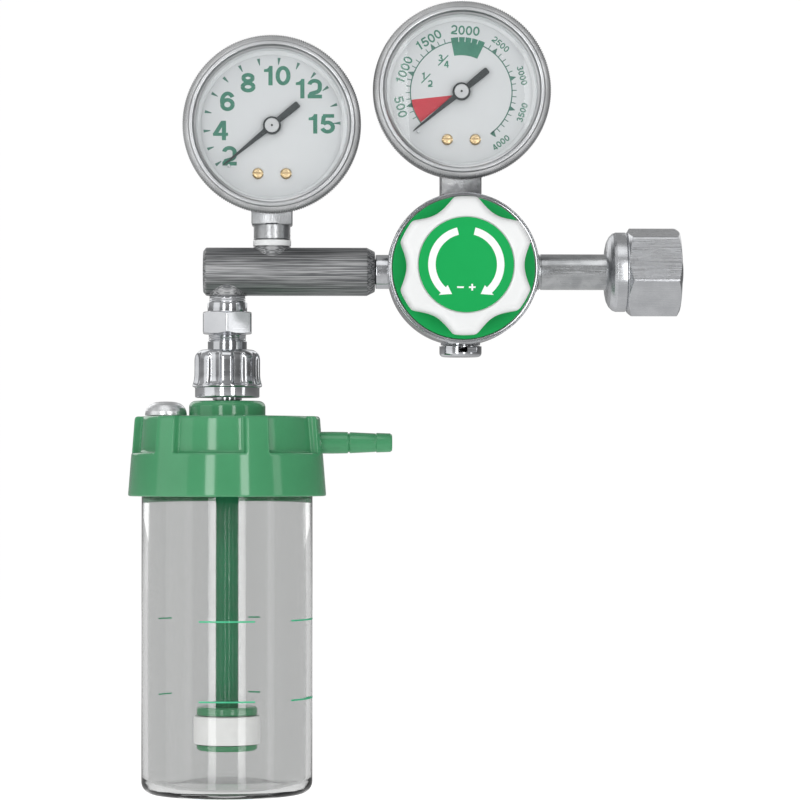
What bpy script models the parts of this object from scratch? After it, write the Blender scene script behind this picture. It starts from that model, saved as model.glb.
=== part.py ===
"""Medical oxygen regulator with two dial gauges and a bubble humidifier.

Metres, +Z up. The origin is the tip of the inlet nipple, +X points out of the inlet, the dials face -Y.
Dimensions below are millimetres.
"""

import math

import bmesh
import bpy

MM = 0.001

# Positions of the main axes.
BODY_X = -82.3
FLOW_X = -152.0
FLOW_Z = 53.3
CONTENTS_Z = 66.0
STACK_X = -168.5
RELIEF_VALVE_X = STACK_X - 22.6
BARB_Z = -63.2

# Inlet nut: 30 mm hex of the cylinder valve connection.
NUT_ACROSS_FLATS = 30.0
NUT_TILT = math.radians(16)
ADAPTER_ACROSS_FLATS = 17.8

# Gauges: 2-1/2 inch size.
BEZEL_R = 32.7
CASE_R = 31.0
DIAL_R = 29.2
WINDOW_R = 27.7
DIAL_SCREW = (5.1, -17.4)
REST_ANGLE = 219.5
PIVOT_DROP = 12.8
BOURDON_R = 18.7
BOURDON_Y = 3.6

# Knob.
LOBES = 6
LOBE_R = 24.8
VALLEY_R = 21.0
KNOB_BACK = -33.5
KNOB_FRONT = -48.5

# Humidifier.
LID_TOP = -53.5
LID_BOTTOM = -82.9
LID_TOP_R = 34.25
LID_BOTTOM_R = 36.55
PANEL_DEPTH = 3.0
LAND_WIDTH = 14.0
LAND_FIRST = 20.0
BOTTLE_R = 31.5
BOTTLE_BOTTOM = -192.2

ROTATIONS = {
    "X": (0, math.pi / 2, 0),
    "Y": (-math.pi / 2, 0, 0),
    "Z": (0, 0, 0),
}

for old in list(bpy.data.objects):
    bpy.data.objects.remove(old, do_unlink=True)

pieces = bpy.data.collections.new("oxygen_regulator")
bpy.context.scene.collection.children.link(pieces)
cutters = bpy.data.collections.new("cutters")
bpy.context.scene.collection.children.link(cutters)
cutters.hide_render = True


def material(name, colour, metallic=0.0, roughness=0.4, transmission=0.0):
    made = bpy.data.materials.new(name)
    made.use_nodes = True
    shader = made.node_tree.nodes["Principled BSDF"]
    shader.inputs["Base Color"].default_value = (*colour, 1)
    shader.inputs["Metallic"].default_value = metallic
    shader.inputs["Roughness"].default_value = roughness
    shader.inputs["Transmission Weight"].default_value = transmission
    made.diffuse_color = (*colour, 1)
    return made


CHROME = material("chrome_plate", (0.62, 0.63, 0.65), 1.0, 0.18)
STEEL = material("brushed_steel", (0.55, 0.56, 0.57), 1.0, 0.32)
BRASS = material("brass", (0.72, 0.52, 0.22), 1.0, 0.3)
SPRING = material("spring_steel", (0.42, 0.43, 0.45), 1.0, 0.35)
RUBBER = material("black_rubber", (0.03, 0.03, 0.03), 0.0, 0.7)
WHITE = material("white_plastic", (0.83, 0.84, 0.84), 0.0, 0.4)
GREEN = material("green_plastic", (0.08, 0.34, 0.16), 0.0, 0.38)
LABEL = material("green_label", (0.02, 0.42, 0.12), 0.0, 0.45)
DIAL = material("dial_white", (0.75, 0.78, 0.79), 0.0, 0.5)
BLACK = material("black_paint", (0.02, 0.02, 0.02), 0.0, 0.45)
SINTERED = material("sintered_white", (0.8, 0.8, 0.78), 0.0, 0.85)
SEAL = material("sealing_band", (0.85, 0.85, 0.85), 0.0, 0.6)
CLEAR = material("clear_plastic", (0.86, 0.9, 0.9), 0.0, 0.06, 0.95)


def add(obj, cutter):
    (cutters if cutter else pieces).objects.link(obj)
    if cutter:
        obj.hide_render = True
        obj.display_type = "WIRE"
    return obj


def set_on(obj, origin, axis, look):
    obj.location = [value * MM for value in origin]
    obj.rotation_euler = ROTATIONS[axis]
    if look is not None:
        obj.data.materials.append(look)


def turned(name, origin, axis, profile, look=None, steps=32, cutter=False):
    """A piece turned about its axis. profile is (radius, position along the axis)."""
    area = 0.0
    for (r0, h0), (r1, h1) in zip(profile, profile[1:] + profile[:1]):
        area += r0 * h1 - r1 * h0
    points = list(reversed(profile)) if area > 0 else list(profile)
    closed = all(r > 0 for r, _ in points)
    if not closed:
        # Begin and end on the axis.
        on_axis = [i for i, (r, _) in enumerate(points) if r == 0]
        start = next(i for i in on_axis if (i - 1) % len(points) in on_axis)
        points = points[start:] + points[:start]
    mesh = bpy.data.meshes.new(name)
    last = len(points)
    edges = [(i, i + 1) for i in range(last - 1)]
    if closed:
        edges.append((last - 1, 0))
    mesh.from_pydata([(r * MM, 0, h * MM) for r, h in points], edges, [])
    obj = add(bpy.data.objects.new(name, mesh), cutter)
    set_on(obj, origin, axis, look)
    screw = obj.modifiers.new("Turn", "SCREW")
    screw.axis = "Z"
    screw.angle = 2 * math.pi
    screw.steps = steps
    screw.render_steps = steps
    screw.use_merge_vertices = True
    screw.merge_threshold = 0.00001
    screw.use_smooth_shade = True
    return obj


def lofted(name, origin, axis, sections, look=None, cutter=False):
    """A piece skinned over outlines. sections is (outline, position along the axis)."""
    shape = bmesh.new()
    rings = []
    for outline, height in sections:
        rings.append([shape.verts.new((a * MM, b * MM, height * MM)) for a, b in outline])
    count = len(rings[0])
    for lower, upper in zip(rings, rings[1:]):
        for i in range(count):
            j = (i + 1) % count
            shape.faces.new((lower[i], lower[j], upper[j], upper[i]))
    shape.faces.new(rings[0])
    shape.faces.new(rings[-1])
    bmesh.ops.recalc_face_normals(shape, faces=shape.faces)
    mesh = bpy.data.meshes.new(name)
    shape.to_mesh(mesh)
    shape.free()
    mesh.shade_smooth()
    mesh.set_sharp_from_angle(angle=math.radians(30))
    obj = add(bpy.data.objects.new(name, mesh), cutter)
    set_on(obj, origin, axis, look)
    return obj


def box(name, low, high, look=None, cutter=False, origin=(0, 0, 0)):
    """A block between two corners, which are measured from the origin given."""
    outline = [(low[0], low[1]), (high[0], low[1]), (high[0], high[1]), (low[0], high[1])]
    return lofted(name, origin, "Z", [(outline, low[2]), (outline, high[2])], look, cutter)


def boolean(obj, other, operation="DIFFERENCE"):
    made = obj.modifiers.new(other.name, "BOOLEAN")
    made.operation = operation
    made.solver = "EXACT"
    made.object = other


def cut(obj, *others):
    for other in others:
        boolean(obj, other)


def joined(obj, *others):
    for other in others:
        boolean(obj, other, "UNION")


def rod(name, origin, axis, radius, start, end, steps=18):
    """A plain cylinder used to add to or cut from a piece."""
    profile = [(0, start), (radius, start), (radius, end), (0, end)]
    return turned(name, origin, axis, profile, None, steps, True)


def arc(centre_r, centre_h, radius, start, end, count):
    """Points of a rounded corner in a turned profile. Angles are degrees from the radial direction."""
    points = []
    for i in range(count + 1):
        angle = math.radians(start + (end - start) * i / count)
        points.append((centre_r + radius * math.cos(angle), centre_h + radius * math.sin(angle)))
    return points


def polygon(sides, apothem, first):
    """A regular polygon whose first corner is at the angle given, in radians."""
    radius = apothem / math.cos(math.pi / sides)
    return [
        (
            radius * math.cos(first + 2 * math.pi * i / sides),
            radius * math.sin(first + 2 * math.pi * i / sides),
        )
        for i in range(sides)
    ]


def spring(name, origin, axis, radius, wire, start, end, turns, per_turn=12):
    """A wound spring that fills the length from start to end."""
    data = bpy.data.curves.new(name, "CURVE")
    data.dimensions = "3D"
    data.bevel_depth = wire * MM
    data.bevel_resolution = 2
    data.use_fill_caps = True
    line = data.splines.new("POLY")
    total = int(turns * per_turn)
    line.points.add(total)
    low = min(start, end) + wire * 1.02
    high = max(start, end) - wire * 1.02
    for i in range(total + 1):
        angle = 2 * math.pi * i / per_turn
        place = (radius * math.cos(angle) * MM, radius * math.sin(angle) * MM)
        height = (low + (high - low) * i / total) * MM
        line.points[i].co = (place[0], place[1], height, 1)
    obj = add(bpy.data.objects.new(name, data), False)
    set_on(obj, origin, axis, SPRING)
    return obj


# Regulator body: a disc with an inlet boss, an outlet neck, a gauge boss and a safety-valve boss.
BODY = (BODY_X, 0, 0)
body = turned(
    "regulator_body",
    BODY,
    "Y",
    [
        (4.0, -4.5),
        (18.0, -4.5),
        (18.0, -7.5),
        (26.6, -7.5),
        (27.0, -7.1),
        (27.0, 6.3),
        (25.8, 7.5),
        (18.0, 7.5),
        (18.0, 10.2),
        (17.2, 11.0),
        (7.0, 11.0),
        (7.0, -0.5),
        (4.0, -0.5),
    ],
    CHROME,
    34,
)
joined(
    body,
    rod("inlet_boss", (0, 0, 0), "X", 7.3, -63.0, -54.0),
    turned(
        "outlet_neck",
        (0, 0, 0),
        "X",
        [(0, -102), (6.3, -102), (6.3, -113.7), (4.6, -113.7), (4.6, -122), (0, -122)],
        None,
        18,
        True,
    ),
    rod("gauge_boss", BODY, "Z", 7.45, 19.5, 27.5),
    rod("safety_boss", BODY, "Z", 7.3, -27.2, -19.5),
)
cut(
    body,
    turned(
        "inlet_bore",
        (0, 0, 0),
        "X",
        [(0, -77), (2.5, -77), (2.5, -62), (4.9, -62), (4.9, -53.5), (0, -53.5)],
        None,
        14,
        True,
    ),
    rod("outlet_bore", (0, 0, 0), "X", 1.9, -123, -96.9, 14),
    rod("outlet_drilling", (BODY_X - 15.4, 0, 0), "Y", 1.6, -5.0, 1.0, 12),
    turned(
        "gauge_bore",
        BODY,
        "Z",
        [(0, 5), (2, 5), (2, 19), (6.1, 19), (6.1, 28), (0, 28)],
        None,
        14,
        True,
    ),
    turned(
        "safety_bore",
        BODY,
        "Z",
        [(0, -14.4), (1.5, -14.4), (1.5, -20), (5.2, -20), (5.2, -27.7), (0, -27.7)],
        None,
        14,
        True,
    ),
    rod("safety_drilling", (BODY_X, 0, -15.6), "Y", 1.2, -5.0, 0.5, 12),
)

# Bonnet over the adjusting spring. A groove runs round its front rim.
turned(
    "bonnet",
    BODY,
    "Y",
    [
        (5.3, -28.0),
        (26.1, -28.0),
        (26.1, -28.7),
        (26.5, -28.7),
        (26.5, -27.6),
        (27.0, -27.6),
        (27.0, -28.4),
        (27.25, -28.4),
        (27.5, -28.1),
        (27.5, -9.1),
        (27.1, -8.7),
        (16.0, -8.7),
        (16.0, -25.5),
        (5.3, -25.5),
    ],
    CHROME,
    34,
)
turned(
    "face_label", BODY, "Y", [(8, -28.8), (25.8, -28.8), (25.8, -28.3), (8, -28.3)], LABEL, 48
)
diaphragm = turned(
    "diaphragm",
    BODY,
    "Y",
    [
        (0, -8.3),
        (12.5, -8.3),
        (15, -7.1),
        (17.4, -8.3),
        (25.5, -8.3),
        (25.5, -7.8),
        (17.4, -7.8),
        (15, -6.6),
        (12.5, -7.8),
        (0, -7.8),
    ],
    RUBBER,
    24,
)
turned(
    "diaphragm_plate",
    BODY,
    "Y",
    [(0, -11.6), (4.6, -11.6), (5, -11.2), (5, -9.9), (11.5, -9.9), (11.5, -8.6), (0, -8.6)],
    BRASS,
    20,
)
spring("adjusting_spring", BODY, "Y", 8.1, 1.15, -22.9, -10.2, 4, 10)
turned(
    "spring_button",
    BODY,
    "Y",
    [(0, -25.2), (10, -25.2), (10, -23.2), (6.2, -23.2), (6.2, -21.4), (0, -21.4)],
    BRASS,
    20,
)
turned(
    "adjusting_screw",
    BODY,
    "Y",
    [(0, -44.2), (5, -44.2), (5, -27.0), (3.5, -25.5), (0, -25.5)],
    STEEL,
    20,
)

# Knob with six square-shouldered lobes and scooped valleys.
def lobed(inset):
    points = []
    for i in range(LOBES):
        centre = 60 * i + 30
        for offset in (-30, -24, -18, -13, -10, -9, 0, 9, 10, 13, 18, 24):
            away = abs(offset)
            radius = LOBE_R
            if away > 10:
                radius = VALLEY_R + (LOBE_R - VALLEY_R) * ((30 - away) / 20) ** 2
            elif away == 10:
                radius = LOBE_R - 0.35
            angle = math.radians(centre + offset)
            radius -= inset
            points.append((radius * math.cos(angle), -radius * math.sin(angle)))
    return points


knob = lofted(
    "knob",
    BODY,
    "Y",
    [
        (lobed(0.6), KNOB_BACK),
        (lobed(0), KNOB_BACK - 0.8),
        (lobed(0), KNOB_FRONT + 3.0),
        (lobed(0.9), KNOB_FRONT + 1.0),
        (lobed(2.6), KNOB_FRONT),
    ],
    WHITE,
)
cut(
    knob,
    turned(
        "knob_hollow",
        BODY,
        "Y",
        [(8.6, -33), (18.2, -33), (17.4, -42.5), (9.0, -42.5)],
        None,
        24,
        True,
    ),
    rod("knob_bore", BODY, "Y", 5.3, -44.6, -33, 18),
    rod("knob_recess", BODY, "Y", 17.3, -49, -47.9, 30),
)
turned(
    "knob_label", BODY, "Y", [(0, -48.6), (17.0, -48.6), (17.0, -48.2), (0, -48.2)], LABEL, 40
)

# Reducing valve behind the diaphragm.
turned(
    "valve_nozzle",
    BODY,
    "Y",
    [(1.4, -4.3), (3.7, -4.3), (3.7, -0.7), (2.3, -0.7), (2.0, 0.2), (1.4, 0.2)],
    BRASS,
    14,
)
turned(
    "valve_poppet",
    BODY,
    "Y",
    [
        (0, -7.5),
        (0.9, -7.5),
        (0.9, 0.5),
        (4, 0.5),
        (4, 3.0),
        (1.4, 3.0),
        (1.4, 7.0),
        (0, 7.0),
    ],
    BRASS,
    14,
)
spring("poppet_spring", BODY, "Y", 2.5, 0.4, 3.3, 9.3, 4, 8)
rear_plug = turned(
    "rear_plug",
    BODY,
    "Y",
    [(0, 9.6), (6.7, 9.6), (6.7, 11.3), (9.4, 11.3), (9.4, 14.4), (8.8, 15.0), (0, 15.0)],
    CHROME,
    18,
)
cut(
    rear_plug,
    lofted(
        "plug_hex",
        BODY,
        "Y",
        [(polygon(6, 3.0, 0), 12.0), (polygon(6, 3.0, 0), 15.5)],
        None,
        True,
    ),
)

# Safety valve under the body.
relief_cap = turned(
    "relief_cap",
    BODY,
    "Z",
    [(3.9, -20.6), (4.9, -20.6), (4.9, -27.5), (7.8, -27.5), (7.8, -30.0)]
    + arc(6.3, -30.0, 1.5, -22.5, -90, 3)
    + [(0.8, -31.5), (0.8, -30.2), (3.9, -30.2)],
    CHROME,
    20,
)
cut(
    relief_cap,
    box(
        "safety_window",
        (2.4 - 3.65, -9, -30.0),
        (2.4 + 3.65, -3.0, -27.9),
        None,
        True,
        (BODY_X, 0, 0),
    ),
)
turned(
    "relief_poppet",
    BODY,
    "Z",
    [(0, -20.3), (3.2, -20.3), (3.2, -21.4), (1.0, -21.4), (1.0, -24.5), (0, -24.5)],
    BRASS,
    14,
)
spring("relief_spring", BODY, "Z", 2.5, 0.35, -29.9, -21.7, 4, 8)

# Inlet stem with its nipple, filter and nut.
turned(
    "inlet_stem",
    (0, 0, 0),
    "X",
    [
        (3.3, -61.5),
        (4.6, -61.5),
        (4.6, -53.7),
        (6.6, -53.7),
        (6.6, -53.15),
        (6.2, -53.15),
        (6.2, -52.65),
        (6.6, -52.65),
        (6.6, -20.5),
        (9.0, -20.5),
        (9.0, -16.2),
        (8.2, -15.4),
        (6.3, -15.4),
        (6.3, -9.5),
        (5.85, -8.3),
        (5.85, -3.0),
        (5.4, -1.2),
        (4.5, 0),
        (2.5, 0),
        (2.5, -50.7),
        (3.3, -51.0),
    ],
    STEEL,
    20,
)
turned(
    "inlet_filter",
    (0, 0, 0),
    "X",
    [(0, -61.2), (2.6, -61.2), (3.0, -60.8), (3.0, -51.5), (0, -51.5)],
    BRASS,
    14,
)

nut_face = math.atan2(-math.cos(NUT_TILT), -math.sin(NUT_TILT))
nut_outline = polygon(6, NUT_ACROSS_FLATS / 2, nut_face + math.pi / 6)
inlet_nut = lofted(
    "inlet_nut", (0, 0, 0), "X", [(nut_outline, -20.6), (nut_outline, -1.3)], CHROME
)
boolean(
    inlet_nut,
    turned(
        "nut_chamfer",
        (0, 0, 0),
        "X",
        [(0, -20.7), (15.1, -20.7), (17.9, -19.0), (17.9, -2.9), (15.1, -1.2), (0, -1.2)],
        None,
        34,
        True,
    ),
    "INTERSECT",
)
joined(
    inlet_nut,
    turned(
        "nut_collar",
        (0, 0, 0),
        "X",
        [(0, -28.6), (9.4, -28.6), (14.7, -24.9), (14.7, -21.2), (14.3, -20.4), (0, -20.4)],
        None,
        30,
        True,
    ),
)
cut(
    inlet_nut,
    turned(
        "nut_bore",
        (0, 0, 0),
        "X",
        [
            (0, -29.0),
            (6.9, -29.0),
            (6.9, -20.8),
            (10.8, -20.8),
            (10.8, -2.6),
            (12.1, -1.3),
            (12.1, -0.9),
            (0, -0.9),
        ],
        None,
        26,
        True,
    ),
)

# Outlet body, with the flow gauge above and the outlet adapter below.
outlet_manifold = turned(
    "outlet_manifold",
    (0, 0, 0),
    "X",
    [(0, -177.4), (8.2, -177.4), (8.9, -176.7), (8.9, -117.0), (7.4, -114.0), (0, -114.0)],
    CHROME,
    26,
)
joined(outlet_manifold, rod("flow_boss", (FLOW_X, 0, 0), "Z", 7.5, 0.3, 9.1))
cut(
    outlet_manifold,
    turned(
        "manifold_bore",
        (0, 0, 0),
        "X",
        [(0, -172.5), (2.5, -172.5), (2.5, -123.5), (4.9, -122.5), (4.9, -113.5), (0, -113.5)],
        None,
        14,
        True,
    ),
    turned(
        "flow_port",
        (FLOW_X, 0, 0),
        "Z",
        [(0, 0), (1.6, 0), (1.6, 2.9), (6.1, 2.9), (6.1, 9.6), (0, 9.6)],
        None,
        14,
        True,
    ),
    turned(
        "outlet_port",
        (STACK_X, 0, 0),
        "Z",
        [(0, 0), (2.4, 0), (2.4, -3.2), (7.0, -3.2), (7.0, -9.6), (0, -9.6)],
        None,
        20,
        True,
    ),
)
turned(
    "flow_gauge_seal",
    (FLOW_X, 0, 0),
    "Z",
    [(6.15, 11.6), (7.1, 11.6), (7.1, 9.4), (6.15, 9.4)],
    SEAL,
    20,
)
STACK = (STACK_X, 0, 0)
outlet_adapter = turned(
    "outlet_adapter",
    STACK,
    "Z",
    [
        (0, -3.5),
        (6.7, -3.5),
        (6.7, -11.5),
        (7.3, -11.5),
        (7.3, -23.1),
        (6.95, -23.1),
        (6.95, -25.7),
        (7.2, -25.9),
        (7.2, -36.6),
        (6.8, -37.0),
        (0, -37.0),
    ],
    CHROME,
    20,
)
adapter_hex = polygon(6, ADAPTER_ACROSS_FLATS / 2, math.pi / 2)
adapter_end = polygon(6, ADAPTER_ACROSS_FLATS / 2 - 0.7, math.pi / 2)
joined(
    outlet_adapter,
    lofted(
        "adapter_hexagon",
        STACK,
        "Z",
        [
            (adapter_end, -23.1),
            (adapter_hex, -22.6),
            (adapter_hex, -15.4),
            (adapter_end, -14.9),
        ],
        None,
        True,
    ),
)
cut(
    outlet_adapter,
    turned(
        "adapter_bore",
        STACK,
        "Z",
        [
            (0, -3.0),
            (4.2, -3.0),
            (4.2, -8.2),
            (2.5, -8.2),
            (2.5, -33.0),
            (5.6, -37.0),
            (5.6, -37.5),
            (0, -37.5),
        ],
        None,
        18,
        True,
    ),
)
turned(
    "flow_orifice",
    STACK,
    "Z",
    [(0.5, -4.0), (3.9, -4.0), (3.9, -7.8), (0.5, -7.8)],
    BRASS,
    14,
)


# Gauges.
def pointer_outline(length, width_hub, width_tip, tail, width_tail, angle):
    """The pointer seen from the front, turned to its rest angle."""
    shape = [
        (length, 0.12),
        (length - 1.2, width_tip),
        (0, width_hub),
        (-5.0, width_hub),
        (-6.5, width_tail),
        (-tail, width_tail),
        (-tail, -width_tail),
        (-6.5, -width_tail),
        (-5.0, -width_hub),
        (0, -width_hub),
        (length - 1.2, -width_tip),
        (length, -0.12),
    ]
    c = math.cos(math.radians(angle))
    s = math.sin(math.radians(angle))
    return [(x * c - z * s, -(x * s + z * c)) for x, z in shape]


def sector(centre, half, root, tip, teeth):
    """The sector gear seen from the front: a toothed arc, two arms and a short tail."""
    points = []
    for i in range(teeth):
        for part, radius in ((0.0, root), (0.3, tip), (0.6, tip), (0.9, root)):
            angle = math.radians(centre + half - 2 * half * (i + part) / (teeth - 0.1))
            points.append((radius * math.cos(angle), -radius * math.sin(angle)))
    for angle, radius in ((-62, 2.4), (-100, 2.2), (-165, 5.0), (165, 5.0), (100, 2.2), (62, 2.4)):
        turn = math.radians(centre + angle)
        points.append((radius * math.cos(turn), -radius * math.sin(turn)))
    return points


def gauge(kind, x, z, block_bottom, stem, sweep):
    hub = (x, 0, z)
    case = turned(
        kind + "_case",
        hub,
        "Y",
        [
            (0, 11.0),
            (28.6, 11.0),
            (30.3, 10.3),
            (31.0, 8.6),
            (CASE_R, -12.7),
            (29.5, -12.7),
            (29.5, 8.4),
            (28.4, 9.5),
            (0, 9.5),
        ],
        BLACK,
        34,
    )
    cut(case, box(kind + "_slot", (-8, -6.6, -34), (8, 7.4, -26), None, True, hub))
    turned(
        kind + "_bezel",
        hub,
        "Y",
        [
            (31.3, -8.3),
            (32.4, -8.3),
            (BEZEL_R, -8.7),
            (BEZEL_R, -15.6),
            (32.2, -16.5),
            (30.4, -16.9),
            (29.9, -17.6),
            (29.2, -17.6),
            (28.8, -16.6),
            (WINDOW_R, -15.6),
            (WINDOW_R, -14.6),
            (30.5, -14.6),
            (30.5, -12.95),
            (31.3, -12.95),
        ],
        CHROME,
        34,
    )
    turned(
        kind + "_lens",
        hub,
        "Y",
        [(0, -14.3), (30.2, -14.3), (30.2, -13.0), (0, -13.0)],
        CLEAR,
        34,
    )
    dial = turned(
        kind + "_dial",
        hub,
        "Y",
        [(1.5, -7.1), (DIAL_R, -7.1), (DIAL_R, -6.5), (1.5, -6.5)],
        DIAL,
        34,
    )
    pin = math.radians(REST_ANGLE + 3.6)
    pin_at = (x + 21.5 * math.cos(pin), 0, z + 21.5 * math.sin(pin))
    joined(dial, rod(kind + "_stop_pin", pin_at, "Y", 0.45, -9.8, -6.8, 10))
    socket = box(
        kind + "_socket",
        (-7.55, -6.2, block_bottom - z + 1.6),
        (7.55, 7.0, -20.8),
        BRASS,
        False,
        hub,
    )
    taper = [(-5.95, -4.8), (5.95, -4.8), (5.95, 5.6), (-5.95, 5.6)]
    full = [(-7.55, -6.2), (7.55, -6.2), (7.55, 7.0), (-7.55, 7.0)]
    riser = box(kind + "_riser", (-7.55, -6.2, -21.5), (7.55, -0.5, -15.0), None, True, hub)
    joined(
        socket,
        riser,
        lofted(
            kind + "_block_end",
            hub,
            "Z",
            [(taper, block_bottom - z), (full, block_bottom - z + 1.6), (full, block_bottom - z + 2)],
            None,
            True,
        ),
        turned(kind + "_thread", hub, "Z", [(r, h - z) for r, h in stem], None, 24, True),
    )
    cut(
        socket,
        rod(kind + "_passage", (x, 2.4, z), "Z", 1.3, stem[-1][1] - z - 0.5, -20, 12),
    )
    for side, name in ((-1, "left"), (1, "right")):
        at = (x + side * DIAL_SCREW[0], 0, z + DIAL_SCREW[1])
        hole = rod(kind + "_screw_hole_" + name, at, "Y", 1.2, -7.6, -1.6, 12)
        cut(dial, hole)
        cut(socket, hole)
        screw = turned(
            kind + "_dial_screw_" + name,
            at,
            "Y",
            [(0, -8.5), (1.5, -8.4), (2.0, -8.0), (2.0, -7.4), (0.9, -7.4), (0.9, -2.0), (0, -2.0)],
            BRASS,
            12,
        )
        cut(
            screw,
            box(
                kind + "_screw_slot_" + name,
                (-2.5, -9.0, -0.25),
                (2.5, -8.1, 0.25),
                None,
                True,
                at,
            ),
        )
    blade = pointer_outline(22.9, 1.0, 0.45, 12.3, 1.9, REST_ANGLE)
    pointer = lofted(kind + "_pointer", hub, "Y", [(blade, -9.4), (blade, -8.8)], BLACK)
    joined(pointer, rod(kind + "_pointer_hub", hub, "Y", 3.3, -9.6, -8.7, 20))
    cut(pointer, rod(kind + "_pointer_hole", hub, "Y", 1.05, -10, -8, 12))
    turned(
        kind + "_pointer_shaft",
        hub,
        "Y",
        [
            (0, -10.6),
            (2.4, -10.6),
            (2.8, -10.3),
            (2.8, -9.9),
            (0.75, -9.9),
            (0.75, 0.0),
            (1.3, 0.0),
            (1.3, 1.6),
            (0, 1.6),
        ],
        STEEL,
        14,
    )
    pivot = (x, 0, z - PIVOT_DROP)
    teeth = sector(90 - sweep / 15, sweep / 15 + 4, PIVOT_DROP - 2.2, PIVOT_DROP - 1.6, 14)
    gear = lofted(kind + "_sector_gear", pivot, "Y", [(teeth, 0.3), (teeth, 1.3)], BRASS)
    cut(gear, rod(kind + "_sector_hole", pivot, "Y", 1.0, 0, 2, 12))
    plate_outline = [(-6, 14.7), (6, 14.7), (6, -2.5), (3.5, -5), (-3.5, -5), (-6, -2.5)]
    plate = lofted(
        kind + "_movement_plate",
        hub,
        "Y",
        [(plate_outline, -2.0), (plate_outline, -0.8)],
        BRASS,
    )
    joined(plate, rod(kind + "_pivot_pin", pivot, "Y", 0.7, -1.4, 1.7, 12))
    cut(plate, rod(kind + "_plate_hole", hub, "Y", 1.1, -3, 0, 12))
    data = bpy.data.curves.new(kind + "_bourdon_tube", "CURVE")
    data.dimensions = "3D"
    data.bevel_depth = 1.5 * MM
    data.bevel_resolution = 2
    data.use_fill_caps = True
    line = data.splines.new("POLY")
    steps = 16
    line.points.add(steps)
    for i in range(steps + 1):
        angle = math.radians(-88 + 270 * i / steps)
        across = BOURDON_R * math.cos(angle) * MM
        up = -BOURDON_R * math.sin(angle) * MM
        line.points[i].co = (across, up, BOURDON_Y * MM, 1)
    tube = add(bpy.data.objects.new(kind + "_bourdon_tube", data), False)
    set_on(tube, hub, "Y", BRASS)


gauge(
    "flow",
    FLOW_X,
    FLOW_Z,
    17.0,
    [(0, 17.4), (6.9, 17.4), (6.9, 11.9), (5.8, 11.9), (5.8, 3.2), (0, 3.2)],
    217,
)
gauge(
    "contents",
    BODY_X,
    CONTENTS_Z,
    27.8,
    [(0, 28.2), (5.8, 28.2), (5.8, 19.4), (0, 19.4)],
    273,
)


# Humidifier coupling: a fluted nut over the inlet spigot.
def fluted(radius, depth):
    points = []
    for i in range(8):
        for offset, part in ((-22.5, 1.0), (-15, 0.8), (-9, 0.25), (0, 0.0), (9, 0.25), (15, 0.8)):
            angle = math.radians(45 * i - 90 + offset)
            points.append(
                ((radius - depth * part) * math.cos(angle), (radius - depth * part) * math.sin(angle))
            )
    return points


humidifier_nut = lofted(
    "humidifier_nut",
    STACK,
    "Z",
    [
        (fluted(11.9, 0), -46.6),
        (fluted(11.9, 0), -43.2),
        (fluted(12.8, 0.3), -42.3),
        (fluted(12.7, 0.9), -41.2),
        (fluted(12.15, 1.2), -38.5),
        (fluted(12.1, 1.2), -32.4),
        (fluted(11.5, 0.7), -30.6),
        (fluted(10.5, 0), -29.4),
        (fluted(9.3, 0), -28.9),
    ],
    CHROME,
)
cut(
    humidifier_nut,
    turned(
        "coupling_bore",
        STACK,
        "Z",
        [(0, -28.5), (7.6, -28.5), (7.6, -43.0), (5.75, -43.0), (5.75, -47.0), (0, -47.0)],
        None,
        20,
        True,
    ),
)
turned(
    "inlet_spigot",
    STACK,
    "Z",
    [
        (2.2, -34.6),
        (3.0, -34.6),
        (4.8, -37.3),
        (6.8, -37.3),
        (6.8, -42.2),
        (6.4, -42.7),
        (5.4, -42.7),
        (5.4, -47.5),
        (4.7, -47.5),
        (4.7, -57.0),
        (2.2, -57.0),
    ],
    CHROME,
    18,
)


# Lid: six recessed panels between narrow lands, a raised centre boss and a barbed outlet.
def scalloped(height, panels, inset=0.0):
    part = (LID_TOP - height) / (LID_TOP - LID_BOTTOM)
    outer = LID_TOP_R + (LID_BOTTOM_R - LID_TOP_R) * part - inset
    half = LAND_WIDTH / 2
    points = []
    for i in range(6):
        centre = LAND_FIRST + 60 * i
        for offset, land in (
            (-half, True),
            (0, True),
            (half, True),
            (half + 1.5, False),
            (half + 12, False),
            (30, False),
            (60 - half - 12, False),
            (60 - half - 1.5, False),
        ):
            angle = math.radians(centre + offset - 90)
            radius = outer if land else outer - panels
            points.append((radius * math.cos(angle), radius * math.sin(angle)))
    return points


lid = lofted(
    "lid",
    STACK,
    "Z",
    [
        (scalloped(LID_BOTTOM, 0, 0.5), LID_BOTTOM),
        (scalloped(LID_BOTTOM + 0.6, 0), LID_BOTTOM + 0.6),
        (scalloped(-67.3, 0), -67.3),
        (scalloped(-66.9, PANEL_DEPTH), -66.9),
        (scalloped(LID_TOP - 0.9, PANEL_DEPTH), LID_TOP - 0.9),
        (scalloped(LID_TOP, PANEL_DEPTH, 0.9), LID_TOP),
    ],
    GREEN,
)
joined(
    lid,
    turned(
        "lid_boss",
        STACK,
        "Z",
        [(0, -54.6), (14.1, -54.6)] + arc(11.7, -50.2, 2.4, 0, 90, 4) + [(0, -47.8)],
        None,
        26,
        True,
    ),
    turned(
        "lid_barb",
        (0, 0, BARB_Z),
        "X",
        [
            (0, -138.0),
            (4.05, -138.0),
            (4.05, -123.7),
            (3.3, -123.5),
            (3.95, -123.2),
            (3.15, -113.7),
            (3.6, -113.4),
            (3.25, -107.9),
            (2.9, -107.6),
            (0, -107.6),
        ],
        None,
        14,
        True,
    ),
)
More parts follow.
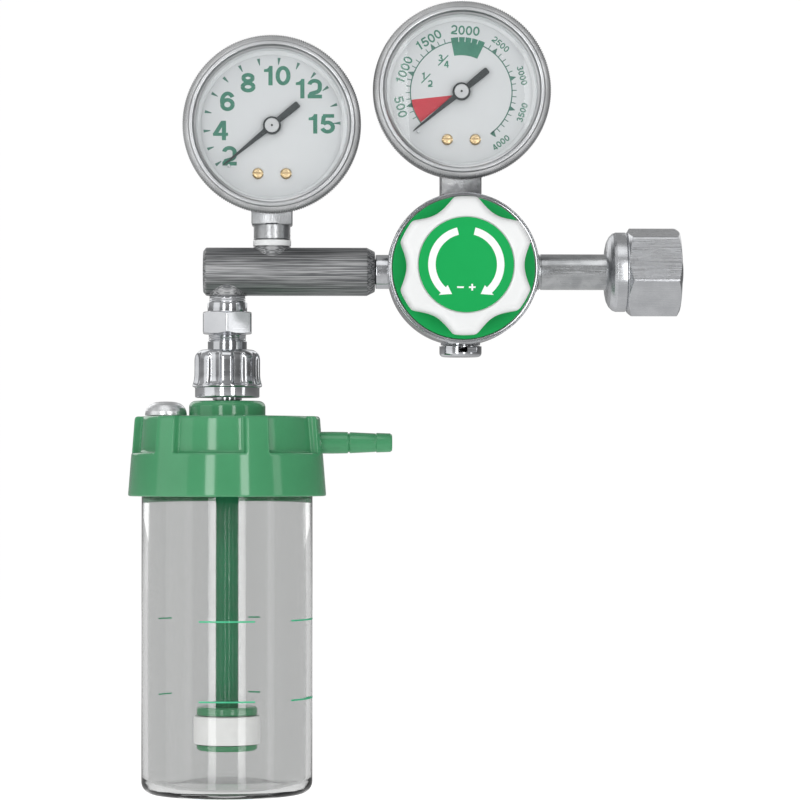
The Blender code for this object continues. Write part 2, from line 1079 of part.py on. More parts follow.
cut(
    lid,
    turned(
        "lid_cavity",
        STACK,
        "Z",
        [
            (0, -66),
            (7, -66),
            (7, -59),
            (25, -59),
            (25, -65.5),
            (29, -65.5),
            (29, -72),
            (32.5, -72),
            (32.5, -84),
            (0, -84),
        ],
        None,
        34,
        True,
    ),
    turned(
        "lid_bore",
        STACK,
        "Z",
        [(0, -47.2), (5.0, -47.2), (5.0, -57.3), (4.55, -57.3), (4.55, -66.8), (0, -66.8)],
        None,
        14,
        True,
    ),
    turned(
        "lid_valve_pocket",
        (RELIEF_VALVE_X, 0, 0),
        "Z",
        [(0, -53.0), (5.3, -53.0), (5.3, -56.8), (1.8, -56.8), (1.8, -59.6), (0, -59.6)],
        None,
        14,
        True,
    ),
    rod("barb_bore", (0, 0, BARB_Z), "X", 1.5, -146.0, -107.0, 12),
)
turned(
    "lid_gasket",
    STACK,
    "Z",
    [(25.6, -65.8), (28.5, -65.8), (28.5, -66.5), (25.6, -66.5)],
    RUBBER,
    34,
)
turned(
    "dip_tube",
    STACK,
    "Z",
    [(2.5, -57.6), (4.25, -57.6), (4.25, -161.9), (2.5, -161.9)],
    GREEN,
    14,
)
turned(
    "diffuser_top_cap",
    STACK,
    "Z",
    [
        (4.55, -160.4),
        (10.6, -160.4),
        (11.2, -161.0),
        (11.2, -163.5),
        (2.5, -163.5),
        (2.5, -162.2),
        (4.55, -162.2),
    ],
    GREEN,
    24,
)
turned(
    "diffuser_element",
    STACK,
    "Z",
    [(5.5, -163.8), (12.25, -163.8), (12.25, -174.2), (5.5, -174.2)],
    SINTERED,
    24,
)
turned(
    "diffuser_bottom_cap",
    STACK,
    "Z",
    [
        (0, -165.0),
        (3.0, -165.0),
        (3.0, -174.5),
        (11.2, -174.5),
        (11.2, -176.0),
        (10.6, -176.6),
        (0, -176.6),
    ],
    GREEN,
    24,
)

# Relief valve on the lid.
VALVE = (RELIEF_VALVE_X, 0, 0)
safety_valve_cap = turned(
    "safety_valve_cap",
    VALVE,
    "Z",
    [
        (0, -48.0),
        (3.2, -48.25),
        (5.6, -49.1),
        (7.1, -50.6),
        (7.7, -52.2),
        (7.7, -53.2),
        (5.0, -53.2),
        (5.0, -56.5),
        (4.2, -56.5),
        (4.2, -50.2),
        (0, -50.2),
    ],
    CHROME,
    20,
)
cut(safety_valve_cap, rod("valve_vent", (RELIEF_VALVE_X, 0, -51.4), "Y", 0.8, -9, 9, 10))
turned(
    "safety_valve_disc",
    VALVE,
    "Z",
    [(0, -52.6), (1.0, -52.6), (1.0, -55.4), (3.5, -55.4), (3.5, -56.4), (0, -56.4)],
    WHITE,
    14,
)
spring("safety_valve_spring", VALVE, "Z", 2.6, 0.35, -55.1, -50.5, 4, 8)

# Bottle.
turned(
    "bottle",
    STACK,
    "Z",
    [(28.3, -66.8), (28.3, -72.3), (30.7, -74.2), (BOTTLE_R, -76.6)]
    + arc(BOTTLE_R - 4.4, BOTTLE_BOTTOM + 4.4, 4.4, 0, -90, 5)
    + [
        (20.5, BOTTLE_BOTTOM),
        (18.5, BOTTLE_BOTTOM + 1.0),
        (9.0, BOTTLE_BOTTOM + 2.6),
        (0, BOTTLE_BOTTOM + 3.0),
        (0, BOTTLE_BOTTOM + 5.2),
        (9.0, BOTTLE_BOTTOM + 4.8),
        (19.5, BOTTLE_BOTTOM + 3.1),
        (26.8, BOTTLE_BOTTOM + 2.4),
        (28.6, BOTTLE_BOTTOM + 3.3),
        (29.3, BOTTLE_BOTTOM + 5.6),
        (29.3, -77.3),
        (28.6, -75.4),
        (26.1, -73.3),
        (26.1, -66.8),
    ],
    CLEAR,
    34,
)
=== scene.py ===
"""Looks for a medical oxygen regulator with two dial gauges and a bubble humidifier.

Lengths are metres unless a name or a comment says millimetres (MM turns one into the other).
"""

import math

import bmesh
import bpy
import numpy as np
from mathutils import Matrix, Vector


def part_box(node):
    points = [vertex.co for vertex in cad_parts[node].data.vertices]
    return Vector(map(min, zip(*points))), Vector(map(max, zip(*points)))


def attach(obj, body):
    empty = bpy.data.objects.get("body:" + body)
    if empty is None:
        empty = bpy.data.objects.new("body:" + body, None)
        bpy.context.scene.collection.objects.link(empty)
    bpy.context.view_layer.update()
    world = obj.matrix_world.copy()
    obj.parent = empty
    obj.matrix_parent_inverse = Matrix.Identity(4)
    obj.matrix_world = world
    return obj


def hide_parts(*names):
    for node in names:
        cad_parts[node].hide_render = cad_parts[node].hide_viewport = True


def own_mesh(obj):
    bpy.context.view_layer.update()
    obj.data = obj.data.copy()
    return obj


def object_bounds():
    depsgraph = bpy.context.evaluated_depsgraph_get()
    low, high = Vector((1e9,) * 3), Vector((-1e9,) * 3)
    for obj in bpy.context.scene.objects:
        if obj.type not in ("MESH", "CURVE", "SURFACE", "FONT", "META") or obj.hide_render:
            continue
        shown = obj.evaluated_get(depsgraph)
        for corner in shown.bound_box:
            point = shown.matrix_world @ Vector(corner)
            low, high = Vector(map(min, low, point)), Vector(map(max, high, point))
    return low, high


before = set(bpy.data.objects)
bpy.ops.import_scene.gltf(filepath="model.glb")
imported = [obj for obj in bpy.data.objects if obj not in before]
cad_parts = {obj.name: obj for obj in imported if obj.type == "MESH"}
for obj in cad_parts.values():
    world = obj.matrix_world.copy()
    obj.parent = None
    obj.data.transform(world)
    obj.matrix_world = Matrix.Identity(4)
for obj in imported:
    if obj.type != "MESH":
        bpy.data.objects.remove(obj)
CAD_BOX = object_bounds()

MM = 0.001
TAU = 2 * math.pi


# ------------------------------------------------------------------ places taken from the frame
def middle(node):
    """Centre of a CAD node in millimetres."""
    low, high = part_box(node)
    return (low + high) / 2 / MM


def low(node):
    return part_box(node)[0] / MM


def high(node):
    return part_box(node)[1] / MM


BODY_X = round(middle("bonnet").x, 2)
FLOW_X = round(middle("flow_lens").x, 2)
FLOW_Z = round(middle("flow_lens").z, 2)
CONTENTS_Z = round(middle("contents_lens").z, 2)
STACK_X = round(middle("bottle").x, 2)
VALVE_X = round(middle("safety_valve_cap").x, 2)
BARB_Z = -63.2
BODY = (BODY_X, 0, 0)
STACK = (STACK_X, 0, 0)
VALVE = (VALVE_X, 0, 0)
FLOW = (FLOW_X, 0, FLOW_Z)
CONTENTS = (BODY_X, 0, CONTENTS_Z)
CENTRE = (0, 0, 0)

AXES = {
    "X": Matrix.Rotation(math.pi / 2, 3, "Y"),
    "Y": Matrix.Rotation(-math.pi / 2, 3, "X"),
    "Z": Matrix.Identity(3),
}


# ------------------------------------------------------------------ mesh helpers
def soften(profile, radius=0.3, steps=3, closed=False):
    """Rounds the corners of a profile of (radius, height) points."""
    points = [Vector(p) for p in profile]
    made = []
    count = len(points)
    for i, here in enumerate(points):
        ends = not closed and i in (0, count - 1)
        before = points[i - 1]
        after = points[(i + 1) % count]
        if ends or (here - before).length < 1e-6 or (after - here).length < 1e-6:
            made.append(tuple(here))
            continue
        back = (before - here).normalized()
        ahead = (after - here).normalized()
        turn = math.pi - back.angle(ahead)
        if turn < math.radians(12):
            made.append(tuple(here))
            continue
        reach = min(
            radius * math.tan(turn / 2), 0.42 * (before - here).length, 0.42 * (after - here).length
        )
        first = here + back * reach
        last = here + ahead * reach
        for k in range(steps + 1):
            t = k / steps
            a = first.lerp(here, t)
            b = here.lerp(last, t)
            made.append(tuple(a.lerp(b, t)))
    return made


def arc(centre_r, centre_h, radius, start, end, count=8):
    """Points of a rounded corner of a profile. Angles are degrees from the radial direction."""
    turns = np.radians(np.linspace(start, end, count + 1))
    return [(centre_r + radius * math.cos(t), centre_h + radius * math.sin(t)) for t in turns]


def skin(rings, closed=False):
    """Vertices and faces of a surface through rings of equal count. A ring of radius 0 is a pole."""
    count = max(len(ring) for ring in rings)
    points = []
    index = []
    for ring in rings:
        ring = np.asarray(ring, float)
        start = len(points)
        if np.hypot(ring[:, 0], ring[:, 1]).max() < 1e-9:
            points.append(tuple(ring[0]))
            index.append([start] * count)
        else:
            points.extend(map(tuple, ring))
            index.append(list(range(start, start + count)))
    faces = []
    pairs = list(zip(index, index[1:]))
    if closed:
        pairs.append((index[-1], index[0]))
    for lower, upper in pairs:
        for i in range(count):
            j = (i + 1) % count
            face = []
            for v in (lower[i], lower[j], upper[j], upper[i]):
                if v not in face:
                    face.append(v)
            if len(face) > 2:
                faces.append(face)
    return points, faces


def mesh_object(name, points, faces, origin=CENTRE, axis="Z", sharp=32):
    """An object from millimetre points in a frame whose local Z is the axis named."""
    shape = bmesh.new()
    verts = [shape.verts.new([c * MM for c in p]) for p in points]
    for face in faces:
        shape.faces.new([verts[i] for i in face])
    bmesh.ops.recalc_face_normals(shape, faces=shape.faces)
    mesh = bpy.data.meshes.new(name)
    shape.to_mesh(mesh)
    shape.free()
    mesh.shade_smooth()
    mesh.set_sharp_from_angle(angle=math.radians(sharp))
    obj = bpy.data.objects.new(name, mesh)
    bpy.context.scene.collection.objects.link(obj)
    obj.matrix_world = Matrix.Translation(Vector(origin) * MM) @ AXES[axis].to_4x4()
    return obj


def angles(count):
    return np.arange(count) * TAU / count


def ring(radius, height, turns):
    """One ring of points. radius and height are numbers or arrays over the angles."""
    radius = np.broadcast_to(np.asarray(radius, float), turns.shape)
    height = np.broadcast_to(np.asarray(height, float), turns.shape)
    return np.stack([radius * np.cos(turns), radius * np.sin(turns), height], 1)


def turned(name, origin, axis, profile, steps=128, rounding=0.25, sharp=32):
    """A piece turned about its axis from a profile of (radius, height)."""
    closed = all(r > 1e-9 for r, _ in profile)
    outline = soften(profile, rounding, 3, closed) if rounding else profile
    turns = angles(steps)
    rings = [ring(r, h, turns) for r, h in outline]
    points, faces = skin(rings, closed)
    return mesh_object(name, points, faces, origin, axis, sharp)


def shaped(name, origin, axis, rings, closed=False, sharp=32):
    """A piece skinned through rings made with ring()."""
    points, faces = skin(rings, closed)
    return mesh_object(name, points, faces, origin, axis, sharp)


def prism(name, origin, axis, outline, start, end, rounding=0.3, sharp=32):
    """An outline of (across, up) points pushed from start to end along the axis, edges rounded."""
    points = [(x, y, h) for h in (start, end) for x, y in outline]
    count = len(outline)
    faces = [[i, (i + 1) % count, count + (i + 1) % count, count + i] for i in range(count)]
    faces += [list(range(count)), list(range(count, 2 * count))]
    obj = mesh_object(name, points, faces, origin, axis, sharp)
    if rounding:
        rounded(obj, rounding)
    return obj


def rounded(obj, width, segments=3, angle=28):
    made = obj.modifiers.new("Round", "BEVEL")
    made.width = width * MM
    made.segments = segments
    made.limit_method = "ANGLE"
    made.angle_limit = math.radians(angle)
    made.harden_normals = True
    made.use_clamp_overlap = True
    return obj


def block(name, lows, highs, origin=CENTRE, rounding=0.4):
    outline = [(lows[0], lows[1]), (highs[0], lows[1]), (highs[0], highs[1]), (lows[0], highs[1])]
    return prism(name, origin, "Z", outline, lows[2], highs[2], rounding)


def settle(obj, sharp=32):
    """Turns modifiers into mesh."""
    graph = bpy.context.evaluated_depsgraph_get()
    mesh = bpy.data.meshes.new_from_object(obj.evaluated_get(graph))
    obj.modifiers.clear()
    obj.data = mesh
    mesh.shade_smooth()
    mesh.set_sharp_from_angle(angle=math.radians(sharp))
    return obj


def combine(obj, others, operation="UNION", sharp=32):
    """Boolean with other pieces, which are used up."""
    for other in others:
        made = obj.modifiers.new("Combine", "BOOLEAN")
        made.operation = operation
        made.solver = "EXACT"
        made.object = other
    settle(obj, sharp)
    for other in others:
        bpy.data.objects.remove(other, do_unlink=True)
    return obj


def merged(obj, others):
    """Puts the meshes of other pieces into this one as they are, and removes those pieces."""
    shape = bmesh.new()
    graph = bpy.context.evaluated_depsgraph_get()
    home = obj.matrix_world.inverted()
    for piece in [obj, *others]:
        mesh = bpy.data.meshes.new_from_object(piece.evaluated_get(graph))
        mesh.transform(home @ piece.matrix_world)
        shape.from_mesh(mesh)
        bpy.data.meshes.remove(mesh)
    mesh = bpy.data.meshes.new(obj.name)
    shape.to_mesh(mesh)
    shape.free()
    obj.modifiers.clear()
    obj.data = mesh
    mesh.shade_smooth()
    mesh.set_sharp_from_angle(angle=math.radians(32))
    for piece in others:
        bpy.data.objects.remove(piece, do_unlink=True)
    return obj


def hexagon(apothem, first, turns, corner=0.6):
    """Radius of a hexagon at the angles given, with slightly rounded corners."""
    away = (turns - first) % (TAU / 6) - TAU / 12
    flat = apothem / np.cos(away)
    return np.minimum(flat, apothem / math.cos(TAU / 12) - corner * (1 - np.cos(6 * away)) / 2 * 0.2 - corner * 0.18)


def put(obj, body, slot, look, *nodes):
    """Rides the piece on its body, sets its material and hides the CAD nodes it stands for."""
    obj.data.materials.clear()
    obj.data.materials.append(look)
    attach(obj, body)
    if nodes:
        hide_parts(*nodes)
    return obj


# ------------------------------------------------------------------ materials
def fresh(name, colour, metallic=0.0, roughness=0.4, **more):
    """A Principled material, its tree and its shader. Extra sockets are given by name."""
    made = bpy.data.materials.new(name)
    made.use_nodes = True
    tree = made.node_tree
    shader = tree.nodes["Principled BSDF"]
    shader.inputs["Base Color"].default_value = (*colour, 1)
    shader.inputs["Metallic"].default_value = metallic
    shader.inputs["Roughness"].default_value = roughness
    for socket, value in more.items():
        shader.inputs[socket.replace("_", " ")].default_value = value
    return made, tree, shader


def node(tree, kind, **settings):
    made = tree.nodes.new(kind)
    for key, value in settings.items():
        setattr(made, key, value)
    return made


def places(tree, stretch=(1, 1, 1), spun=False):
    """Object coordinates, stretched, or (distance from the local Z axis, 0, height) for a turned piece."""
    coords = node(tree, "ShaderNodeTexCoord").outputs["Object"]
    if spun:
        split = node(tree, "ShaderNodeSeparateXYZ")
        tree.links.new(coords, split.inputs[0])
        square_x = node(tree, "ShaderNodeMath", operation="MULTIPLY")
        tree.links.new(split.outputs[0], square_x.inputs[0])
        tree.links.new(split.outputs[0], square_x.inputs[1])
        both = node(tree, "ShaderNodeMath", operation="MULTIPLY_ADD")
        tree.links.new(split.outputs[1], both.inputs[0])
        tree.links.new(split.outputs[1], both.inputs[1])
        tree.links.new(square_x.outputs[0], both.inputs[2])
        away = node(tree, "ShaderNodeMath", operation="SQRT")
        tree.links.new(both.outputs[0], away.inputs[0])
        joined = node(tree, "ShaderNodeCombineXYZ")
        tree.links.new(away.outputs[0], joined.inputs[0])
        tree.links.new(split.outputs[2], joined.inputs[2])
        coords = joined.outputs[0]
    mapping = node(tree, "ShaderNodeMapping")
    mapping.inputs["Scale"].default_value = stretch
    tree.links.new(coords, mapping.inputs["Vector"])
    return mapping.outputs[0]


def noise(tree, vector, scale, detail=3.0, rough=0.55):
    made = node(tree, "ShaderNodeTexNoise")
    made.inputs["Scale"].default_value = scale
    made.inputs["Detail"].default_value = detail
    made.inputs["Roughness"].default_value = rough
    tree.links.new(vector, made.inputs["Vector"])
    return made.outputs["Fac"]


def remap(tree, value, low_in, high_in, low_out, high_out):
    made = node(tree, "ShaderNodeMapRange")
    for i, number in enumerate((low_in, high_in, low_out, high_out)):
        made.inputs[i + 1].default_value = number
    tree.links.new(value, made.inputs[0])
    return made.outputs[0]


def blended(tree, factor, first, second):
    made = node(tree, "ShaderNodeMix", data_type="RGBA")
    made.inputs[6].default_value = (*first, 1)
    made.inputs[7].default_value = (*second, 1)
    tree.links.new(factor, made.inputs[0])
    return made.outputs[2]


def bumped(tree, shader, heights):
    """Chains bumps. heights is a list of (value, strength, distance in mm)."""
    last = None
    for value, strength, distance in heights:
        made = node(tree, "ShaderNodeBump")
        made.inputs["Strength"].default_value = strength
        made.inputs["Distance"].default_value = distance * MM
        tree.links.new(value, made.inputs["Height"])
        if last is not None:
            tree.links.new(last, made.inputs["Normal"])
        last = made.outputs[0]
    tree.links.new(last, shader.inputs["Normal"])


def metal(name, light, dark, rough, stretch=None, lines=0.25, grain=900.0, bump=0.12, cloud=60.0, streaks=False):
    """Plated or brushed metal. stretch gives the way its lines run; None means turned lines.
    With streaks the colour runs in fine lines too, rather than in soft clouds."""
    made, tree, shader = fresh(name, light, 1.0, rough[0])
    along = places(tree, stretch or (1, 1, 1), spun=stretch is None)
    plain = places(tree)
    fine = noise(tree, along, grain, 2.0)
    broad = noise(tree, plain, cloud, 3.0)
    speck = noise(tree, plain, 1400.0, 2.0, 0.7)
    tint = noise(tree, along, grain / 4, 2.0) if streaks else broad
    reach = 0.1 if streaks else 0.15
    tree.links.new(
        blended(tree, remap(tree, tint, 0.5 - reach, 0.5 + reach, 0, 1), light, dark), shader.inputs["Base Color"]
    )
    roughness = node(tree, "ShaderNodeMath", operation="MULTIPLY_ADD")
    tree.links.new(remap(tree, fine, 0.3, 0.7, 1 - lines, 1 + lines), roughness.inputs[0])
    tree.links.new(remap(tree, broad, 0.3, 0.7, *rough), roughness.inputs[1])
    tree.links.new(remap(tree, speck, 0.6, 0.85, 0, 0.12), roughness.inputs[2])
    tree.links.new(roughness.outputs[0], shader.inputs["Roughness"])
    bumped(tree, shader, [(fine, bump, 0.03), (tint, 0.7, 0.06) if streaks else (broad, 0.12, 0.05)])
    return made


def plastic(name, light, dark, rough, grain=1500.0, bump=0.05, cloud=45.0, coat=0.0, **more):
    """Moulded plastic: a faint cloud of colour, a fine grain and slightly uneven gloss."""
    made, tree, shader = fresh(name, light, 0.0, rough[0], **more)
    plain = places(tree)
    broad = noise(tree, plain, cloud, 4.0)
    fine = noise(tree, plain, grain, 3.0, 0.6)
    tree.links.new(
        blended(tree, remap(tree, broad, 0.3, 0.7, 0, 1), light, dark), shader.inputs["Base Color"]
    )
    mixed = node(tree, "ShaderNodeMath", operation="MULTIPLY_ADD")
    tree.links.new(remap(tree, broad, 0.3, 0.7, *rough), mixed.inputs[0])
    tree.links.new(remap(tree, fine, 0.3, 0.7, 0.9, 1.1), mixed.inputs[1])
    mixed.inputs[2].default_value = 0.0
    tree.links.new(mixed.outputs[0], shader.inputs["Roughness"])
    bumped(tree, shader, [(fine, bump, 0.03), (broad, 0.08, 0.2)])
    shader.inputs["Coat Weight"].default_value = coat
    shader.inputs["Coat Roughness"].default_value = 0.08
    return made


def printed(name, light, dark, rough=0.45):
    """Ink: slightly uneven in density, with soft specks."""
    made, tree, shader = fresh(name, light, 0.0, rough)
    plain = places(tree)
    broad = noise(tree, plain, 500.0, 4.0, 0.7)
    tree.links.new(
        blended(tree, remap(tree, broad, 0.35, 0.7, 0, 1), light, dark), shader.inputs["Base Color"]
    )
    tree.links.new(remap(tree, broad, 0.3, 0.7, rough - 0.06, rough + 0.06), shader.inputs["Roughness"])
    return made


def clear(name, tint, roughness, ior, wave, cloud):
    """Clear moulded plastic with faint waves and handling haze."""
    made, tree, shader = fresh(name, tint, 0.0, roughness, Transmission_Weight=1.0, IOR=ior)
    plain = places(tree)
    broad = noise(tree, plain, cloud, 2.0)
    haze = noise(tree, plain, 220.0, 4.0, 0.7)
    tree.links.new(remap(tree, haze, 0.55, 0.85, roughness, roughness + 0.08), shader.inputs["Roughness"])
    bumped(tree, shader, [(broad, wave, 0.3)])
    return made


GREY = ((0.60, 0.61, 0.63), (0.50, 0.51, 0.53))
CHROME = metal("chrome_turned", *GREY, (0.09, 0.16), None, 0.3, 2600.0, 0.05)
CHROME_X = metal("chrome_drawn_lengthwise", (0.44, 0.445, 0.45), (0.15, 0.155, 0.16), (0.50, 0.62), (300, 300, 5), 0.3, 30.0, 0.8, 60.0, True)
DOME = metal("chrome_satin_dome", (0.80, 0.81, 0.82), (0.72, 0.73, 0.74), (0.30, 0.38), None, 0.25, 2600.0, 0.05)
CHROME_PLAIN = metal("chrome_cast", *GREY, (0.10, 0.20), (1, 1, 1), 0.25, 420.0, 0.10, 140.0)
HEX_LOOK = metal("chrome_brushed_flats", *GREY, (0.22, 0.34), (300, 300, 5), 0.35, 14.0, 0.4, 120.0)
BEZEL_LOOK = metal("chrome_bezel", (0.43, 0.435, 0.44), (0.34, 0.345, 0.35), (0.40, 0.52), None, 0.3, 3000.0, 0.04)
LIP_LOOK = metal("chrome_bezel_lip", (0.54, 0.55, 0.56), (0.46, 0.47, 0.48), (0.34, 0.44), None, 0.3, 3000.0, 0.04)
RIM = plastic("pale_rim_enamel", (0.64, 0.66, 0.67), (0.58, 0.60, 0.61), (0.4, 0.5), 1500.0, 0.04)
BRASS_PALE = metal("pale_brass", (0.56, 0.45, 0.29), (0.42, 0.31, 0.17), (0.28, 0.40), None, 0.3, 2200.0, 0.12)
SOCKET_LIGHT = metal("socket_satin_light", (0.50, 0.51, 0.52), (0.32, 0.33, 0.34), (0.30, 0.42), (420, 420, 12), 0.4, 22.0, 0.8, 90.0)
SOCKET_DARK = metal("socket_satin_dark", (0.40, 0.405, 0.41), (0.20, 0.205, 0.21), (0.30, 0.45), (420, 420, 30), 0.5, 40.0, 1.0, 220.0)
CAP = plastic("satin_pointer_cap", (0.50, 0.51, 0.52), (0.44, 0.45, 0.46), (0.45, 0.55), 1500.0, 0.06)
STEEL = metal("brushed_steel", (0.50, 0.51, 0.52), (0.40, 0.41, 0.42), (0.24, 0.34), None, 0.3, 1800.0, 0.15)
STEEL_X = metal("drawn_steel", (0.52, 0.53, 0.54), (0.38, 0.39, 0.40), (0.2, 0.32), (240, 240, 6), 0.4, 20.0, 0.5, 150.0)
BRASS = metal("machined_brass", (0.78, 0.56, 0.24), (0.66, 0.44, 0.16), (0.2, 0.32), None, 0.3, 2200.0, 0.12)
SPRING = metal("drawn_spring_wire", (0.42, 0.43, 0.45), (0.33, 0.34, 0.36), (0.28, 0.4), (1, 1, 1), 0.3, 900.0, 0.1)
RUBBER = plastic("moulded_rubber", (0.025, 0.025, 0.026), (0.04, 0.04, 0.04), (0.6, 0.75), 900.0, 0.15)
WHITE = plastic("white_moulded_plastic", (0.74, 0.75, 0.75), (0.70, 0.71, 0.71), (0.3, 0.42), 1300.0, 0.05)
GREEN = plastic("green_moulded_plastic", (0.064, 0.285, 0.130), (0.055, 0.252, 0.113), (0.08, 0.13), 1500.0, 0.03)
GREEN_DARK = plastic("green_tube_plastic", (0.018, 0.20, 0.085), (0.013, 0.16, 0.065), (0.10, 0.16), 1500.0, 0.05)
LABEL = plastic("green_printed_label", (0.003, 0.355, 0.083), (0.002, 0.325, 0.072), (0.45, 0.55), 1800.0, 0.03, 30.0, Specular_IOR_Level=0.15)
LABEL_WHITE = printed("white_label_ink", (0.84, 0.85, 0.85), (0.76, 0.78, 0.78))
DIAL = plastic("dial_enamel", (0.565, 0.583, 0.592), (0.54, 0.558, 0.57), (0.42, 0.52), 1600.0, 0.03, 25.0)
INK = printed("dark_green_ink", (0.009, 0.125, 0.078), (0.016, 0.16, 0.10))
INK_DEEP = printed("deep_green_ink", (0.026, 0.115, 0.085), (0.035, 0.14, 0.105))
INK_RED = printed("red_ink", (0.46, 0.012, 0.03), (0.40, 0.01, 0.025))
LEVEL_INK = printed("green_level_ink", (0.03, 0.42, 0.2), (0.05, 0.5, 0.26))
BLACK = plastic("black_enamel", (0.035, 0.036, 0.038), (0.05, 0.051, 0.053), (0.32, 0.45), 1200.0, 0.08)
POINTER = plastic("pointer_enamel", (0.022, 0.028, 0.03), (0.032, 0.038, 0.04), (0.5, 0.62), 1500.0, 0.05, Specular_IOR_Level=0.3)
CASE = metal("steel_case", (0.42, 0.43, 0.45), (0.34, 0.35, 0.37), (0.22, 0.32), None, 0.3, 1600.0, 0.12)
SINTERED = plastic("sintered_beads", (0.97, 0.97, 0.96), (0.90, 0.90, 0.89), (0.7, 0.9), 700.0, 0.5, 260.0)
SEAL = plastic("thread_seal_tape", (0.86, 0.87, 0.87), (0.72, 0.73, 0.73), (0.4, 0.6), 600.0, 0.3, 300.0)
CLEAR = clear("clear_bottle_plastic", (0.665, 0.67, 0.667), 0.015, 1.32, 0.12, 30.0)
LENS = clear("clear_lens", (0.985, 0.99, 0.99), 0.0, 1.3, 0.01, 20.0)


# ------------------------------------------------------------------ regulator body and bonnet
body = turned(
    "body_casting",
    BODY,
    "Y",
    [
        (4.0, -4.5), (18.0, -4.5), (18.0, -7.5), (26.6, -7.5), (27.0, -7.1), (27.0, 6.3),
        (25.8, 7.5), (18.0, 7.5), (18.0, 10.2), (17.2, 11.0), (7.0, 11.0), (7.0, -0.5), (4.0, -0.5),
    ],
)
combine(
    body,
    [
        turned("a", CENTRE, "X", [(0, -63), (7.3, -63), (7.3, -54.0), (0, -54.0)], 96, 0.4),
        turned(
            "b", CENTRE, "X",
            [(0, -122), (4.6, -122), (4.6, -113.7), (6.3, -113.7), (6.3, -102), (0, -102)], 96, 0.3,
        ),
        turned("c", BODY, "Z", [(0, 19.5), (7.45, 19.5), (7.45, 27.5), (0, 27.5)], 96, 0.4),
        turned("d", BODY, "Z", [(0, -27.2), (7.3, -27.2), (7.3, -19.5), (0, -19.5)], 96, 0.4),
    ],
)
combine(
    body,
    [
        turned("e", CENTRE, "X", [(0, -77), (2.5, -77), (2.5, -62), (4.9, -62), (4.9, -53.5), (0, -53.5)], 48, 0),
        turned("f", CENTRE, "X", [(0, -123), (1.9, -123), (1.9, -96.9), (0, -96.9)], 32, 0),
        turned("g", BODY, "Z", [(0, 5), (2, 5), (2, 19), (6.1, 19), (6.1, 28), (0, 28)], 48, 0),
        turned("h", BODY, "Z", [(0, -27.7), (5.2, -27.7), (5.2, -20), (1.5, -20), (1.5, -14.4), (0, -14.4)], 48, 0),
    ],
    "DIFFERENCE",
)
put(body, "regulator", "chrome", CHROME_PLAIN, "regulator_body")

bonnet = turned(
    "bonnet_shell",
    BODY,
    "Y",
    [
        (5.3, -28.0), (26.1, -28.0), (26.1, -28.7), (26.5, -28.7), (26.5, -27.6), (27.0, -27.6),
        (27.0, -28.4), (27.25, -28.4), (27.5, -28.0), (27.5, -12.0), (27.2, -11.7), (27.2, -11.3),
        (27.5, -11.0), (27.5, -9.1), (27.1, -8.7), (16.0, -8.7), (16.0, -25.5), (5.3, -25.5),
    ],
    160,
    0.15,
)
put(bonnet, "regulator", "chrome", CHROME, "bonnet")
face = turned("bonnet_face_label", BODY, "Y", [(8, -28.8), (25.8, -28.8), (25.8, -28.3), (8, -28.3)], 160, 0.08)
put(face, "regulator", "green_label", LABEL, "face_label")

plug_turns = angles(96)
socket_hex = hexagon(3.0, 0, plug_turns, 0.1)
plug = shaped(
    "rear_hex_socket_plug",
    BODY,
    "Y",
    [ring(0, 12.0, plug_turns), ring(socket_hex, 12.0, plug_turns), ring(socket_hex, 14.8, plug_turns),
     ring(socket_hex + 0.25, 15.0, plug_turns)]
    + [ring(r, h, plug_turns) for r, h in soften(
        [(4.5, 15.0), (8.7, 15.0), (9.4, 14.3), (9.4, 11.3), (6.7, 11.3), (6.7, 9.6), (0.5, 9.6)], 0.3)]
    + [ring(0, 9.6, plug_turns)],
)
put(plug, "regulator", "chrome", CHROME, "rear_plug")

cap = turned(
    "safety_valve_outlet_cap",
    BODY,
    "Z",
    [(3.9, -20.6), (4.9, -20.6), (4.9, -27.5), (7.8, -27.5), (7.8, -30.0)]
    + arc(6.3, -30.0, 1.5, -20, -90)
    + [(0.8, -31.5), (0.8, -30.2), (3.9, -30.2)],
    128,
    0.15,
)
window = block("w", (2.4 - 3.65, -9, -30.0), (2.4 + 3.65, -3.0, -27.9), (BODY_X, 0, 0), 0.25)
combine(cap, [window], "DIFFERENCE")
put(cap, "regulator", "chrome", CHROME, "relief_cap")


# ------------------------------------------------------------------ knob
def lobed(turns, inset=0.0):
    """Knob radius: six lobes with flat crowns and scooped valleys between them."""
    away = np.abs((np.degrees(turns) - 30 + 30) % 60 - 30)
    scoop = 21.0 + 3.8 * np.clip((30 - away) / 20.3, 0, 1) ** 2
    crown = 24.8 * np.cos(math.radians(4.5)) / np.cos(np.radians(np.clip(away, 0, 9.7)) * 0.46)
    shape = np.where(away < 9.7, crown, np.minimum(scoop, 24.75))
    kernel = np.array([1, 2, 3, 2, 1]) / 9
    wide = np.concatenate([shape[-2:], shape, shape[:2]])
    return np.convolve(wide, kernel, "valid") - inset


